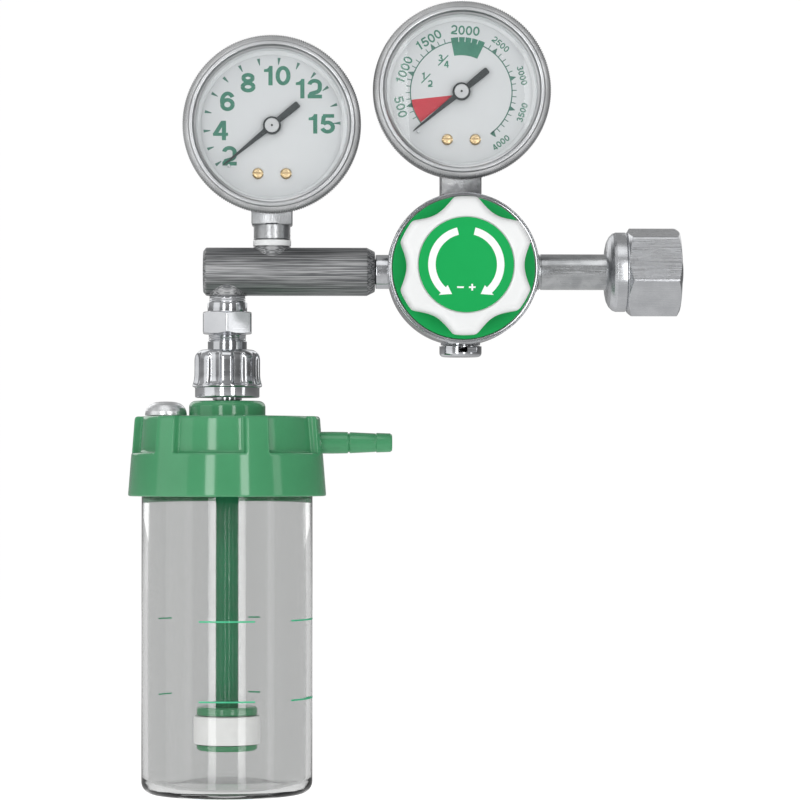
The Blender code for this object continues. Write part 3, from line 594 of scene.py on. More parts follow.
knob_turns = angles(360)
knob_rings = [ring(0, -47.9, knob_turns), ring(16.9, -47.9, knob_turns), ring(17.25, -47.95, knob_turns),
              ring(17.3, -48.1, knob_turns), ring(17.35, -48.35, knob_turns), ring(17.6, -48.48, knob_turns)]
for inset, height in (
    (4.0, -48.5), (2.6, -48.47), (1.9, -48.32), (1.25, -48.0), (0.75, -47.5), (0.4, -46.9), (0.15, -46.1),
    (0.03, -45.2), (0, -44.0), (0, -40.0), (0, -35.2), (0.08, -34.4), (0.3, -33.8), (0.7, -33.5),
):
    reach = np.maximum(lobed(knob_turns, inset), 17.8)
    knob_rings.append(ring(reach, height, knob_turns))
knob_rings += [
    ring(r, h, knob_turns)
    for r, h in ((18.4, -33.5), (18.2, -33.7), (17.4, -42.3), (17.1, -42.5), (9.3, -42.5), (9.0, -42.3),
                 (8.6, -33.7), (8.4, -33.5), (5.5, -33.5), (5.3, -33.7), (5.3, -44.6), (0, -44.6))
]
put(shaped("adjusting_knob", BODY, "Y", knob_rings, sharp=40), "knob", "white_plastic", WHITE, "knob")
label = turned("knob_disc_label", BODY, "Y", [(0, -48.53), (17.0, -48.53), (17.0, -48.2), (0, -48.2)], 160, 0.06)
put(label, "knob", "green_label", LABEL, "knob_label")


def flat(name, origin, outlines, front, back):
    """Thin printed shapes facing -Y. Each outline is a list of (x, z) points measured from the origin."""
    shape = bmesh.new()
    for k, outline in enumerate(outlines):
        lift = front + 0.003 * (k % 4)
        near = [shape.verts.new((x * MM, lift * MM, z * MM)) for x, z in outline]
        far = [shape.verts.new((x * MM, back * MM, z * MM)) for x, z in outline]
        shape.faces.new(near)
        shape.faces.new(far[::-1])
        for i in range(len(outline)):
            j = (i + 1) % len(outline)
            shape.faces.new((near[i], near[j], far[j], far[i]))
    bmesh.ops.recalc_face_normals(shape, faces=shape.faces)
    bmesh.ops.triangulate(shape, faces=[f for f in shape.faces if len(f.verts) > 4])
    mesh = bpy.data.meshes.new(name)
    shape.to_mesh(mesh)
    shape.free()
    obj = bpy.data.objects.new(name, mesh)
    bpy.context.scene.collection.objects.link(obj)
    obj.location = Vector(origin) * MM
    return obj


def polar(radius, degrees):
    turn = math.radians(degrees)
    return (radius * math.cos(turn), radius * math.sin(turn))


def band(inner, outer, start, end, count=24):
    """A flat curved band between two angles in degrees."""
    sweep = np.linspace(start, end, count + 1)
    return [polar(outer, t) for t in sweep] + [polar(inner, t) for t in sweep[::-1]]


def curved_arrow(start, end, head):
    """A curved band that ends in an arrowhead, as one outline."""
    step = 1 if end > start else -1
    sweep = np.linspace(start, end, 33)
    line = [polar(13.6, t) for t in sweep]
    line += [polar(14.6, end), polar(11.7, end + step * head), polar(9.9, end)]
    line += [polar(10.95, t) for t in sweep[::-1]]
    return line


arrows = flat("knob_arrows", BODY, [curved_arrow(104, 228, 16), curved_arrow(76, -48, 16)], -48.6, -48.52)
put(arrows, "knob", "white_plastic", LABEL_WHITE)
signs = flat(
    "knob_plus_minus",
    BODY,
    [
        [(-3.3, -8.4), (-0.9, -8.4), (-0.9, -7.8), (-3.3, -7.8)],
        [(0.9, -8.4), (1.8, -8.4), (1.8, -9.3), (2.4, -9.3), (2.4, -8.4), (3.3, -8.4), (3.3, -7.8),
         (2.4, -7.8), (2.4, -6.9), (1.8, -6.9), (1.8, -7.8), (0.9, -7.8)],
    ],
    -48.6,
    -48.52,
)
put(signs, "knob", "white_plastic", LABEL_WHITE)

screw_turns = angles(72)
screw_rings = [ring(0, -44.2, screw_turns), ring(4.4, -44.2, screw_turns)]
for height in np.arange(-44.0, -27.2, 0.15):
    wave = np.abs(((height / 1.5 - screw_turns / TAU) % 1.0) * 2 - 1)
    screw_rings.append(ring(4.45 + 0.5 * wave, height, screw_turns))
screw_rings += [ring(4.4, -27.0, screw_turns), ring(3.5, -25.7, screw_turns), ring(3.2, -25.5, screw_turns), ring(0, -25.5, screw_turns)]
put(shaped("adjusting_screw_threaded", BODY, "Y", screw_rings, sharp=60), "knob", "steel", STEEL, "adjusting_screw")


# ------------------------------------------------------------------ inlet
stem = turned(
    "inlet_stem_turned",
    CENTRE,
    "X",
    [
        (3.3, -61.5), (4.6, -61.5), (4.6, -53.7), (6.6, -53.7), (6.6, -53.15), (6.2, -53.15),
        (6.2, -52.65), (6.6, -52.65), (6.6, -20.5), (9.0, -20.5), (9.0, -16.2), (8.2, -15.4),
        (6.3, -15.4), (6.3, -9.5), (5.85, -8.3), (5.85, -3.0), (5.4, -1.2), (4.5, -0.0), (2.5, 0),
        (2.5, -50.7), (3.3, -51.0),
    ],
    128,
    0.15,
)
put(stem, "regulator", "steel", STEEL_X, "inlet_stem")

NUT_TILT = math.radians(16)
NUT_FACE = math.atan2(-math.cos(NUT_TILT), -math.sin(NUT_TILT))
nut_turns = angles(360)
nut_hex = hexagon(15.0, NUT_FACE + math.pi / 6, nut_turns)


def nut_ring(height, cone):
    return ring(np.minimum(nut_hex, cone), height, nut_turns)


nut_rings = [ring(12.1, -1.35, nut_turns), ring(12.3, -1.3, nut_turns), ring(14.6, -1.3, nut_turns), nut_ring(-1.35, 14.85)]
for part in np.linspace(0, 1, 14):
    nut_rings.append(nut_ring(-1.5 - 1.35 * part, 15.15 + 2.5 * part))
for part in np.linspace(1, 0, 14):
    nut_rings.append(nut_ring(-20.4 + 1.35 * part, 15.15 + 2.5 * part))
nut_rings += [nut_ring(-20.6, 14.9)]
nut_rings += [
    ring(r, h, nut_turns)
    for r, h in soften(
        [(14.1, -20.65), (14.1, -21.0), (14.7, -21.3), (14.7, -24.9), (14.2, -26.1), (13.0, -27.3), (11.2, -28.2),
         (9.4, -28.6), (6.9, -28.6), (6.9, -20.8), (10.6, -20.8)], 0.35
    )
]
for height in np.arange(-20.2, -3.2, 0.17):
    wave = np.abs(((height / 1.81 - nut_turns / TAU) % 1.0) * 2 - 1)
    nut_rings.append(ring(10.75 + 0.55 * np.clip(wave * 1.3 - 0.15, 0, 1), height, nut_turns))
nut_rings += [ring(11.0, -2.8, nut_turns), ring(11.3, -2.3, nut_turns)]
nut = shaped("inlet_hex_nut", CENTRE, "X", nut_rings, True, 30)
put(nut, "inlet_nut", "chrome", HEX_LOOK, "inlet_nut")


# ------------------------------------------------------------------ outlet body, adapter and coupling nut
manifold = turned(
    "outlet_block",
    CENTRE,
    "X",
    [(0, -177.4), (7.6, -177.4), (8.9, -176.3)] + [(8.9, x) for x in np.arange(-174.0, -118.0, 2.0)]
    + [(8.9, -117.0), (7.4, -114.0), (0, -114.0)],
    160,
    0.7,
)
combine(
    manifold,
    [
        turned("m", (FLOW_X, 0, 0), "Z", [(0, 0.3), (6.95, 0.3), (6.95, 9.1), (0, 9.1)], 128, 0.35),
        turned("m2", STACK, "Z", [(0, -8.95), (7.3, -8.95), (7.3, -2.0), (0, -2.0)], 128, 0.2),
    ],
)
combine(
    manifold,
    [
        turned("n", CENTRE, "X", [(0, -172.5), (2.5, -172.5), (2.5, -123.5), (4.9, -122.5), (4.9, -113.5), (0, -113.5)], 48, 0),
        turned("o", (FLOW_X, 0, 0), "Z", [(0, 0), (1.6, 0), (1.6, 2.9), (6.1, 2.9), (6.1, 9.6), (0, 9.6)], 48, 0),
        turned("p", STACK, "Z", [(0, -9.6), (5.2, -9.6), (5.2, -3.2), (2.4, -3.2), (2.4, 0), (0, 0)], 64, 0),
    ],
    "DIFFERENCE",
)
put(manifold, "regulator", "chrome", CHROME_X, "outlet_manifold")

tape = []
for i, part in enumerate(np.linspace(0, 1, 13)):
    tape.append((6.95 + 0.15 * (i % 2), 9.45 + 2.1 * part))
seal = turned("flow_stem_seal_tape", (FLOW_X, 0, 0), "Z", [(6.2, 9.42)] + tape + [(6.2, 11.58)], 96, 0.05)
put(seal, "regulator", "seal", SEAL, "flow_gauge_seal")

fit_turns = angles(240)
fit_hex = hexagon(8.9, math.pi / 2, fit_turns, 0.4)
fit_rings = [ring(r, h, fit_turns) for r, h in ((4.2, -3.5), (5.0, -3.5), (5.0, -9.0), (6.4, -9.0))]
for height in np.arange(-9.2, -11.4, -0.1):
    fit_rings.append(ring(6.5 + 0.22 * abs((height / 0.75 % 1.0) * 2 - 1), height, fit_turns))
fit_rings += [ring(r, h, fit_turns) for r, h in ((6.6, -11.45), (7.2, -11.5), (7.3, -11.7), (7.3, -14.7), (7.4, -14.85))]
for part in np.linspace(0, 1, 9):
    fit_rings.append(ring(np.minimum(fit_hex, 8.6 + 1.6 * part), -14.9 - 0.75 * part, fit_turns))
for part in np.linspace(1, 0, 9):
    fit_rings.append(ring(np.minimum(fit_hex, 8.6 + 1.6 * part), -23.1 + 0.75 * part, fit_turns))
fit_rings += [ring(7.1, -23.12, fit_turns), ring(6.95, -23.3, fit_turns)]
for height in np.arange(-23.5, -25.6, -0.1):
    fit_rings.append(ring(6.72 + 0.22 * abs((height / 0.7 % 1.0) * 2 - 1), height, fit_turns))
fit_rings += [ring(r, h, fit_turns) for r, h in soften([(6.9, -25.7), (7.2, -25.95), (7.2, -36.5), (6.7, -37.0), (5.6, -37.0), (2.5, -33.0), (2.5, -8.2), (4.2, -8.2)], 0.2)]
fit = shaped("outlet_hex_adapter", STACK, "Z", fit_rings, True, 30)
put(fit, "regulator", "chrome", CHROME, "outlet_adapter")


def fluted(turns, radius, depth):
    """Coupling nut radius: eight lands with flutes between them."""
    away = np.abs((np.degrees(turns) + 22.5) % 45 - 22.5)
    part = np.clip((away - 7.5) / 7.5, 0, 1)
    return radius - depth * part * part * (3 - 2 * part)


grip_turns = angles(360)
grip_rings = []
for radius, depth, height in (
    (7.8, 0, -28.9), (9.0, 0, -28.9), (9.6, 0, -29.0), (10.3, 0, -29.35), (10.9, 0.1, -29.8), (11.4, 0.45, -30.3),
    (11.8, 0.9, -31.0), (12.0, 1.25, -31.8), (12.1, 1.4, -32.8), (12.1, 1.4, -36.0), (12.12, 1.4, -38.5),
    (12.3, 1.45, -40.0), (12.55, 1.5, -41.0), (12.7, 1.4, -41.5), (12.78, 0.7, -41.75), (12.8, 0.15, -42.0),
    (12.8, 0, -42.3), (12.7, 0, -42.6), (12.3, 0, -42.75), (11.95, 0, -42.95), (11.9, 0, -43.2),
    (11.9, 0, -46.1), (11.75, 0, -46.45), (11.4, 0, -46.6), (6.0, 0, -46.6), (5.75, 0, -46.4),
    (5.75, 0, -43.0), (7.6, 0, -43.0), (7.6, 0, -29.1),
):
    grip_rings.append(ring(fluted(grip_turns, radius, depth), height, grip_turns))
grip = shaped("humidifier_coupling_nut", STACK, "Z", grip_rings, True, 36)
put(grip, "humidifier_nut", "chrome", CHROME, "humidifier_nut")
spigot = turned(
    "humidifier_inlet_spigot",
    STACK,
    "Z",
    [(2.2, -34.6), (3.0, -34.6), (4.8, -37.3), (6.8, -37.3), (6.8, -42.2), (6.4, -42.7), (5.4, -42.7),
     (5.4, -47.5), (4.7, -47.5), (4.7, -57.0), (2.2, -57.0)],
    64,
    0.15,
)
put(spigot, "humidifier", "chrome", CHROME, "inlet_spigot")


# ------------------------------------------------------------------ gauges
def bow(x, z, rx, rz, start, end, count=16):
    """Points along part of an ellipse. Angles are degrees."""
    sweep = np.radians(np.linspace(start, end, count + 1))
    return [(x + rx * math.cos(t), z + rz * math.sin(t)) for t in sweep]


def stroke(path, wide):
    """The outline of a pen stroke of one width along a path."""
    points = [Vector(p) for p in path]
    sides = []
    for i, here in enumerate(points):
        ahead = points[min(i + 1, len(points) - 1)] - points[max(i - 1, 0)]
        before = (here - points[max(i - 1, 0)]) if i else ahead
        bend = before.normalized().dot(ahead.normalized())
        across = Vector((-ahead.y, ahead.x)).normalized() * wide / 2 / max(bend, 0.6)
        sides.append((here + across, here - across))
    return [tuple(a) for a, _ in sides] + [tuple(b) for _, b in sides[::-1]]


def digit(sign, wide):
    """Pen strokes of a sans-serif digit 1 high and 0.7 wide."""
    h = wide / 2
    e = 1 - h
    if sign == "0":
        paths = [bow(0.35, 0.5, 0.35 - h, 0.5 - h, 0, 180), bow(0.35, 0.5, 0.35 - h, 0.5 - h, 180, 360)]
    elif sign == "2":
        paths = [bow(0.34, 0.69, 0.34 - h, 0.31 - h, 175, -12) + bow(0.0, 0.52, 0.58, 0.30, -4, -38, 5)
                 + [(0.16, 0.24), (0.10, 0.02 + h)]]
    elif sign == "3":
        paths = [bow(0.33, 0.725, 0.30 - h, 0.275 - h, 165, -95), bow(0.34, 0.285, 0.35 - h, 0.285 - h, 95, -168)]
    elif sign == "4":
        paths = [[(0.07, 0.27), (0.46, 0.95)]]
    elif sign == "5":
        paths = [[(0.17, e), (0.12, 0.47)], bow(0.34, 0.335, 0.35 - h, 0.335 - h, 140, -165)]
    elif sign == "6":
        paths = [bow(0.36, 0.335, 0.34 - h, 0.335 - h, 0, 180), bow(0.36, 0.335, 0.34 - h, 0.335 - h, 180, 360),
                 bow(0.37, 0.5, 0.36 - h, 0.5 - h, 190, 32)]
    elif sign == "8":
        paths = []
        for z, rx, rz in ((0.285, 0.35 - h, 0.285 - h), (0.74, 0.31 - h, 0.26 - h)):
            paths += [bow(0.35, z, rx, rz, 0, 180), bow(0.35, z, rx, rz, 180, 360)]
    else:
        paths = []
    shapes = [stroke(path, wide) for path in paths]
    if sign == "1":
        shapes.append([(0.37, 0), (0.37 + wide, 0), (0.37 + wide, 1), (0.41, 1), (0.375, 0.91), (0.29, 0.845),
                       (0.16, 0.82), (0.16, 0.82 - wide * 0.7), (0.37, 0.82 - wide * 0.7)])
    if sign == "2":
        shapes.append([(0.01, 0), (0.68, 0), (0.68, wide), (0.01, wide)])
    if sign == "4":
        shapes.append([(0.41, 0), (0.41 + wide, 0), (0.41 + wide, 1), (0.41, 1)])
        shapes.append([(0, 0.22), (0.7, 0.22), (0.7, 0.22 + wide * 0.85), (0, 0.22 + wide * 0.85)])
    if sign == "5":
        shapes.append([(0.10, 1 - wide * 0.95), (0.65, 1 - wide * 0.95), (0.65, 1), (0.13, 1)])
    return shapes


def numbers(name, origin, rows, front, more=(), step=0.79):
    """Printed numbers. rows is (text, x, z, height, turn in degrees, stroke over height, widening)."""
    outlines = list(more)
    for text, x, z, height, turn, wide, widening in rows:
        c, s = polar(height, turn)
        shapes = []
        for i, sign in enumerate(text):
            for shape in digit(sign, wide):
                shapes.append([((px + step * i) * widening, pz - 0.5) for px, pz in shape])
        ends = [u for shape in shapes for u, _ in shape]
        half = (min(ends) + max(ends)) / 2
        for shape in shapes:
            outlines.append([(x + (u - half) * c - v * s, z + (u - half) * s + v * c) for u, v in shape])
    return flat(name, origin, outlines, front, DIAL_FRONT)


DIAL_FRONT = -7.1
INK_FRONT = -7.14
REST_ANGLE = 219.5


def tick(angle, inner, outer, narrow, wide):
    """A tick that points inwards: narrow at the inner radius, wide at the outer."""
    c, s = polar(1, angle)
    return [
        (inner * c - side * w * s, inner * s + side * w * c)
        for side, w, inner in ((-1, narrow, inner), (-1, wide, outer), (1, wide, outer), (1, narrow, inner))
    ]


def gauge(kind, hub, block_bottom, stem, look):
    """The fixed parts that both gauges share."""
    x, _, z = hub
    case = turned(
        kind + "_gauge_case",
        hub,
        "Y",
        [(0, 11.0), (9.0, 11.0), (9.3, 10.6), (11.7, 10.6), (12.0, 11.0), (28.6, 11.0), (30.3, 10.3), (31.0, 8.6),
         (31.0, -12.7), (29.5, -12.7), (29.5, 8.4), (28.4, 9.5), (0, 9.5)],
        160,
        0.5,
    )
    combine(case, [block("s", (-8, -6.6, -34), (8, 7.4, -26), hub, 0.3)], "DIFFERENCE")
    put(case, "regulator", "black", CASE, kind + "_case")

    turns = angles(960)
    tooth = (1 - np.cos(turns * 240)) / 2
    rings = []
    for radius, height, depth in (
        (31.3, -8.3, 0), (32.1, -8.3, 0), (32.45, -8.5, 0.3), (32.6, -8.9, 0.45), (32.7, -9.4, 0.45),
        (32.7, -15.6, 0.45), (32.6, -16.1, 0.45), (32.3, -16.45, 0.4), (31.8, -16.65, 0.3), (31.2, -16.78, 0.2),
        (30.75, -16.85, 0.12), (30.5, -16.85, 0), (30.5, -12.95, 0), (31.3, -12.95, 0),
    ):
        rings.append(ring(radius - depth * tooth, height, turns))
    bezel = shaped(kind + "_gauge_bezel", hub, "Y", rings, True, 40)
    put(bezel, "regulator", "chrome", BEZEL_LOOK, kind + "_bezel")
    lip = turned(
        kind + "_gauge_bezel_lip",
        hub,
        "Y",
        [(30.46, -14.7), (30.46, -16.9), (30.42, -17.2), (30.25, -17.45), (30.0, -17.58), (29.3, -17.58),
         (29.0, -17.45), (28.75, -17.1), (28.65, -16.5), (28.5, -16.2), (28.1, -16.0), (27.8, -15.8), (27.7, -15.4),
         (27.7, -14.7)],
        192,
        0,
        30,
    )
    put(lip, "regulator", "chrome", LIP_LOOK, kind + "_bezel")
    rim = turned(
        kind + "_gauge_inner_rim",
        hub,
        "Y",
        [(25.9, -7.14), (25.9, -7.5), (26.1, -7.7), (27.2, -8.0), (27.4, -8.3), (27.7, -12.5), (29.2, -12.5), (29.2, -7.14)],
        192,
        0.15,
    )
    put(rim, "regulator", "dial", RIM)

    lens = turned(kind + "_gauge_lens", hub, "Y", [(0, -14.3), (30.2, -14.3), (30.2, -13.0), (0, -13.0)], 160, 0.1)
    lens.visible_shadow = False
    lens.visible_diffuse = False
    put(lens, "regulator", "clear", LENS, kind + "_lens")

    dial = turned(
        kind + "_gauge_dial", hub, "Y", [(1.5, -7.1), (29.2, -7.1), (29.2, -6.5), (1.5, -6.5)], 160, 0.05
    )
    pin = polar(21.5, REST_ANGLE + 3.6)
    stop = turned("q", (x + pin[0], 0, z + pin[1]), "Y", [(0, -9.8), (0.45, -9.8), (0.45, -6.8), (0, -6.8)], 24, 0.1)
    combine(dial, [stop])
    put(dial, "regulator", "dial", DIAL, kind + "_dial")

    socket = block(kind + "_gauge_socket", (-7.55, -6.2, block_bottom - z), (7.55, 7.0, -20.8), hub, 0)
    riser = block("r", (-7.55, -6.2, -21.5), (7.55, -0.5, -15.0), hub, 0)
    combine(socket, [riser])
    rounded(socket, 1.0, 3)
    settle(socket)
    rows = [(0, stem[0][1])]
    for radius, top, bottom in stem:
        rows.append((radius - 0.3, top))
        if bottom < top - 3:
            for height in np.arange(top - 0.4, bottom + 0.3, -0.5):
                rows.append((radius - 0.34, height))
                rows.append((radius, height - 0.25))
        else:
            rows += [(radius, top - 0.3), (radius, bottom + 0.3)]
        rows.append((radius - 0.3, bottom))
    rows.append((0, stem[-1][2]))
    thread = turned("t", (x, 0, 0), "Z", rows, 96, 0)
    merged(socket, [thread])
    put(socket, "regulator", "brass", look, kind + "_socket")

    for side, end in ((-1, "left"), (1, "right")):
        at = (x + side * 5.1, 0, z - 17.4)
        head = turned(
            kind + "_dial_screw_head_" + end,
            at,
            "Y",
            [(0, -8.5), (0.9, -8.47), (1.5, -8.33), (1.9, -8.05), (2.0, -7.8), (2.0, -7.2), (0.9, -7.2), (0.9, -2.0), (0, -2.0)],
            64,
            0.08,
        )
        slot_cut = prism("u", at, "Y", [(-2.5, -0.38), (2.5, -0.38), (2.5, 0.38), (-2.5, 0.38)], -9.0, -7.5, 0)
        slot_cut.rotation_mode = "XYZ"
        combine(head, [slot_cut], "DIFFERENCE")
        put(head, "regulator", "brass", BRASS_PALE, kind + "_dial_screw_" + end)


def pointer(kind, hub):
    """The pointer with its hub, and the shaft cap over it."""
    turn = math.radians(REST_ANGLE)
    c, s = math.cos(turn), math.sin(turn)
    side = [(22.9, 0.1), (21.5, 0.3), (12.0, 0.62), (4.0, 0.95), (2.6, 1.15), (-2.6, 1.05), (-5.0, 1.15), (-8.0, 1.25),
            (-12.1, 1.27), (-12.5, 0.9)]
    shape = side + [(u, -v) for u, v in side[::-1]]
    outline = [(u * c - v * s, -(u * s + v * c)) for u, v in shape]
    blade = prism(kind + "_gauge_pointer", hub, "Y", outline, -9.4, -8.8, 0)
    boss = turned("v", hub, "Y", [(1.05, -9.6), (3.3, -9.6), (3.3, -8.7), (1.05, -8.7)], 96, 0.1)
    hole = turned("w", hub, "Y", [(0, -10), (1.05, -10), (1.05, -8), (0, -8)], 64, 0)
    combine(blade, [boss])
    combine(blade, [hole], "DIFFERENCE")
    put(blade, kind + "_pointer", "black", POINTER, kind + "_pointer")
    shaft = turned(
        kind + "_pointer_cap",
        hub,
        "Y",
        [(0, -10.35), (0.6, -10.4), (2.3, -10.35), (2.6, -10.15), (2.6, -9.9), (0.75, -9.9),
         (0.75, 0.0), (1.3, 0.0), (1.3, 1.6), (0, 1.6)],
        64,
        0.08,
    )
    put(shaft, kind + "_pointer", "steel", CAP, kind + "_pointer_shaft")
    dot = turned(kind + "_pointer_centre", hub, "Y", [(0, -10.55), (0.3, -10.5), (0.42, -10.4), (0.42, -10.2), (0, -10.2)], 32, 0)
    put(dot, kind + "_pointer", "black", POINTER, kind + "_pointer_shaft")


gauge("flow", FLOW, 17.0, [(6.9, 17.6, 11.9), (5.8, 12.0, 3.2)], SOCKET_LIGHT)
gauge("contents", CONTENTS, 27.8, [(5.8, 28.6, 19.4)], SOCKET_DARK)
pointer("flow", FLOW)
pointer("contents", CONTENTS)

# Flow dial: 2 to 15, a wedge for each step.
FLOW_MARKS = (215, 200, 184.5, 168, 151.5, 135, 118.5, 101.5, 84, 67, 51, 35, 18.5, 2.5)
flow_ticks = flat(
    "flow_dial_ticks",
    FLOW,
    [tick(angle, 22.4, 24.9, 0.14, 0.58) for angle in FLOW_MARKS],
    INK_FRONT,
    DIAL_FRONT,
)
put(flow_ticks, "regulator", "dial", INK_DEEP)
flow_numbers = numbers(
    "flow_dial_numbers",
    FLOW,
    [
        ("2", -15.4, -10.9, 7.1, 0, 0.195, 1.1), ("4", -18.7, -1.7, 7.1, 0, 0.195, 1.1), ("6", -16.2, 8.9, 7.1, 0, 0.195, 1.1),
        ("8", -8.7, 15.7, 7.1, 0, 0.195, 1.1), ("10", 1.9, 18.3, 7.1, 0, 0.195, 1.1), ("12", 13.4, 13.6, 7.1, 0, 0.195, 1.1),
        ("15", 18.1, 0.8, 7.1, 0, 0.195, 1.1),
    ],
    INK_FRONT,
    step=0.7,
)
put(flow_numbers, "regulator", "dial", INK)


# Contents dial: 0 to 4000 with a red part at the empty end and a green block near the top.
def contents_angle(value):
    return np.interp(value, range(500, 4001, 500), (195, 159.5, 122.5, 86.5, 50.5, 15.5, -18.5, -52.5)) + 0.071 * max(500 - value, 0)


GREEN_FROM, GREEN_TO = 101.0, 64.3
scale_marks = [band(18.3, 18.72, 218, GREEN_FROM, 60), band(18.3, 18.72, GREEN_TO, -53.5, 60)]
for value in range(300, 4001, 100):
    angle = contents_angle(value)
    if GREEN_TO - 3 < angle < GREEN_FROM + 2:
        continue
    if value % 500:
        scale_marks.append(tick(angle, 18.6, 20.2, 0.16, 0.16))
    else:
        scale_marks.append(tick(angle, 18.4, 20.6, 1.0, 0.1))
put(flat("contents_dial_scale", CONTENTS, scale_marks, INK_FRONT, DIAL_FRONT), "regulator", "dial", INK_DEEP)
figures = []
for value, radius, angle, tall, turn in (
    (500, 22.7, 194.0, 3.4, -76), (1000, 22.3, 158.7, 3.4, 68.7), (1500, 22.4, 121.8, 3.4, 31.8), (2000, 22.5, 86.2, 3.4, -3.8),
    (2500, 22.6, 50.5, 2.3, -39.5), (3000, 23.0, 15.4, 2.3, -74.6), (3500, 23.4, -18.5, 2.3, 71.5), (4000, 23.4, -52.0, 2.3, 38),
):
    figures.append((str(value), *polar(radius, angle), tall, turn, 0.175, 1.0))
for sign, x, z in (("1", -13.8, 5.9), ("2", -11.3, 3.05), ("3", -7.5, 12.4), ("4", -5.4, 10.1)):
    figures.append((sign, x, z, 2.5, 0, 0.2, 1.0))
bars = [stroke([(-14.5, 3.2), (-11.2, 6.6)], 0.42), stroke([(-8.4, 9.6), (-4.7, 13.4)], 0.42)]
put(numbers("contents_dial_numbers", CONTENTS, figures, INK_FRONT, bars), "regulator", "dial", INK)
wedge = [polar(3.0, 203)] + [polar(18.3, t) for t in np.linspace(217, 189, 16)]
put(flat("contents_dial_red_part", CONTENTS, [wedge], INK_FRONT, DIAL_FRONT), "regulator", "dial", INK_RED)
edges = [GREEN_FROM, 92.8, 85.8, 78.7, 71.8, GREEN_TO]
green_block = [band(13.4, 18.3, GREEN_FROM, GREEN_TO, 18)]
for first, last in zip(edges, edges[1:]):
    green_block.append(band(18.2, 20.0, first - 0.45 * (first < 100), last + 0.45 * (last > 65), 6))
put(flat("contents_dial_green_block", CONTENTS, green_block, INK_FRONT, DIAL_FRONT), "regulator", "dial", INK)


# ------------------------------------------------------------------ humidifier lid
LID_TOP = -53.5
LID_BOTTOM = -82.9
land_side = [0, 1.5, 3.5, 5.0, 5.9, 6.4, 6.75, 7.0, 7.2, 7.4, 7.65, 7.9, 8.15, 8.5, 9.0, 10.0, 12.0, 15.0, 18.0, 21.0, 24.0, 27.0]
land_offsets = sorted([-a for a in land_side if a > 0] + land_side + [30.0])
lid_turns = np.radians([20 - 90 + 60 * i + a for i in range(6) for a in land_offsets])


def recess(turns):
    """0 on the lands, 1 in the panels between them."""
    away = np.abs((np.degrees(turns) + 90 - 20 + 30) % 60 - 30)
    return np.interp(away, [6.5, 6.9, 7.2, 7.4, 7.9, 8.15, 8.5, 9.0], [0, 0.035, 0.12, 0.25, 0.8, 0.93, 0.985, 1.0])


PANELS = recess(lid_turns)


def lid_ring(height, inset=0.0, depth=0.0):
    part = (LID_TOP - height) / (LID_TOP - LID_BOTTOM)
    return ring(34.25 + 2.3 * part - inset - depth * PANELS, height, lid_turns)


lid_rings = [
    lid_ring(-82.9, 1.0), lid_ring(-82.88, 0.6), lid_ring(-82.75, 0.25), lid_ring(-82.45, 0.05), lid_ring(-82.0),
    lid_ring(-75.0), lid_ring(-68.2), lid_ring(-67.6, 0.0, 0.03), lid_ring(-67.25, 0.0, 0.18), lid_ring(-67.0, 0.0, 0.55),
    lid_ring(-66.9, 0.0, 1.2), lid_ring(-66.82, 0.0, 2.3), lid_ring(-66.65, 0.0, 2.75), lid_ring(-66.3, 0.0, 2.95),
    lid_ring(-65.8, 0.0, 3.0), lid_ring(-60.0, 0.0, 3.0), lid_ring(-54.8, 0.0, 3.0), lid_ring(-54.2, 0.08, 3.0),
    lid_ring(-53.8, 0.3, 3.0), lid_ring(-53.58, 0.65, 3.0), lid_ring(-53.5, 1.15, 3.0),
]
lid_rings += [ring(r, h, lid_turns) for r, h in soften([(16.0, -53.5), (14.1, -53.5), (14.1, -50.2)], 0.5)]
lid_rings += [ring(r, h, lid_turns) for r, h in arc(11.7, -50.2, 2.4, 8, 90, 10)]
lid_rings += [
    ring(r, h, lid_turns)
    for r, h in (
        (5.2, -47.8), (5.0, -48.0), (5.0, -57.3), (4.55, -57.3), (4.55, -66.0), (7.0, -66.0), (7.0, -59.0),
        (25.0, -59.0), (25.0, -65.5), (29.0, -65.5), (29.0, -72.0), (32.5, -72.0), (32.5, -82.7), (32.8, -82.9),
    )
]
lid = shaped("humidifier_lid", STACK, "Z", lid_rings, True, 34)
barb = turned(
    "b",
    (0, 0, BARB_Z),
    "X",
    [(0, -138.0), (4.0, -138.0), (4.05, -130.0), (3.95, -124.1), (3.45, -123.7), (3.45, -123.45), (3.9, -123.2),
     (3.75, -120.0), (3.45, -114.0), (3.3, -113.7), (3.62, -113.3), (3.45, -108.3), (2.9, -107.6), (0, -107.6)],
    96,
    0.25,
)
combine(lid, [barb], "UNION", 34)
combine(
    lid,
    [
        turned("c", VALVE, "Z", [(0, -59.6), (1.8, -59.6), (1.8, -56.8), (5.3, -56.8), (5.3, -53.0), (0, -53.0)], 64, 0),
        turned("d", (0, 0, BARB_Z), "X", [(0, -146), (1.5, -146), (1.5, -108.0), (1.9, -107.0), (0, -107.0)], 48, 0),
    ],
    "DIFFERENCE",
    34,
)
put(lid, "humidifier", "green_plastic", GREEN, "lid")

dome_cap = turned(
    "humidifier_relief_cap",
    VALVE,
    "Z",
    [(0, -48.0), (2.0, -48.06), (3.8, -48.3), (5.2, -48.75), (6.3, -49.5), (7.1, -50.5), (7.55, -51.6), (7.7, -52.5),
     (7.7, -53.1), (7.5, -53.2), (5.0, -53.2), (5.0, -56.5), (4.2, -56.5), (4.2, -50.2), (0, -50.2)],
    128,
    0.06,
)
put(dome_cap, "humidifier", "chrome", DOME, "safety_valve_cap")


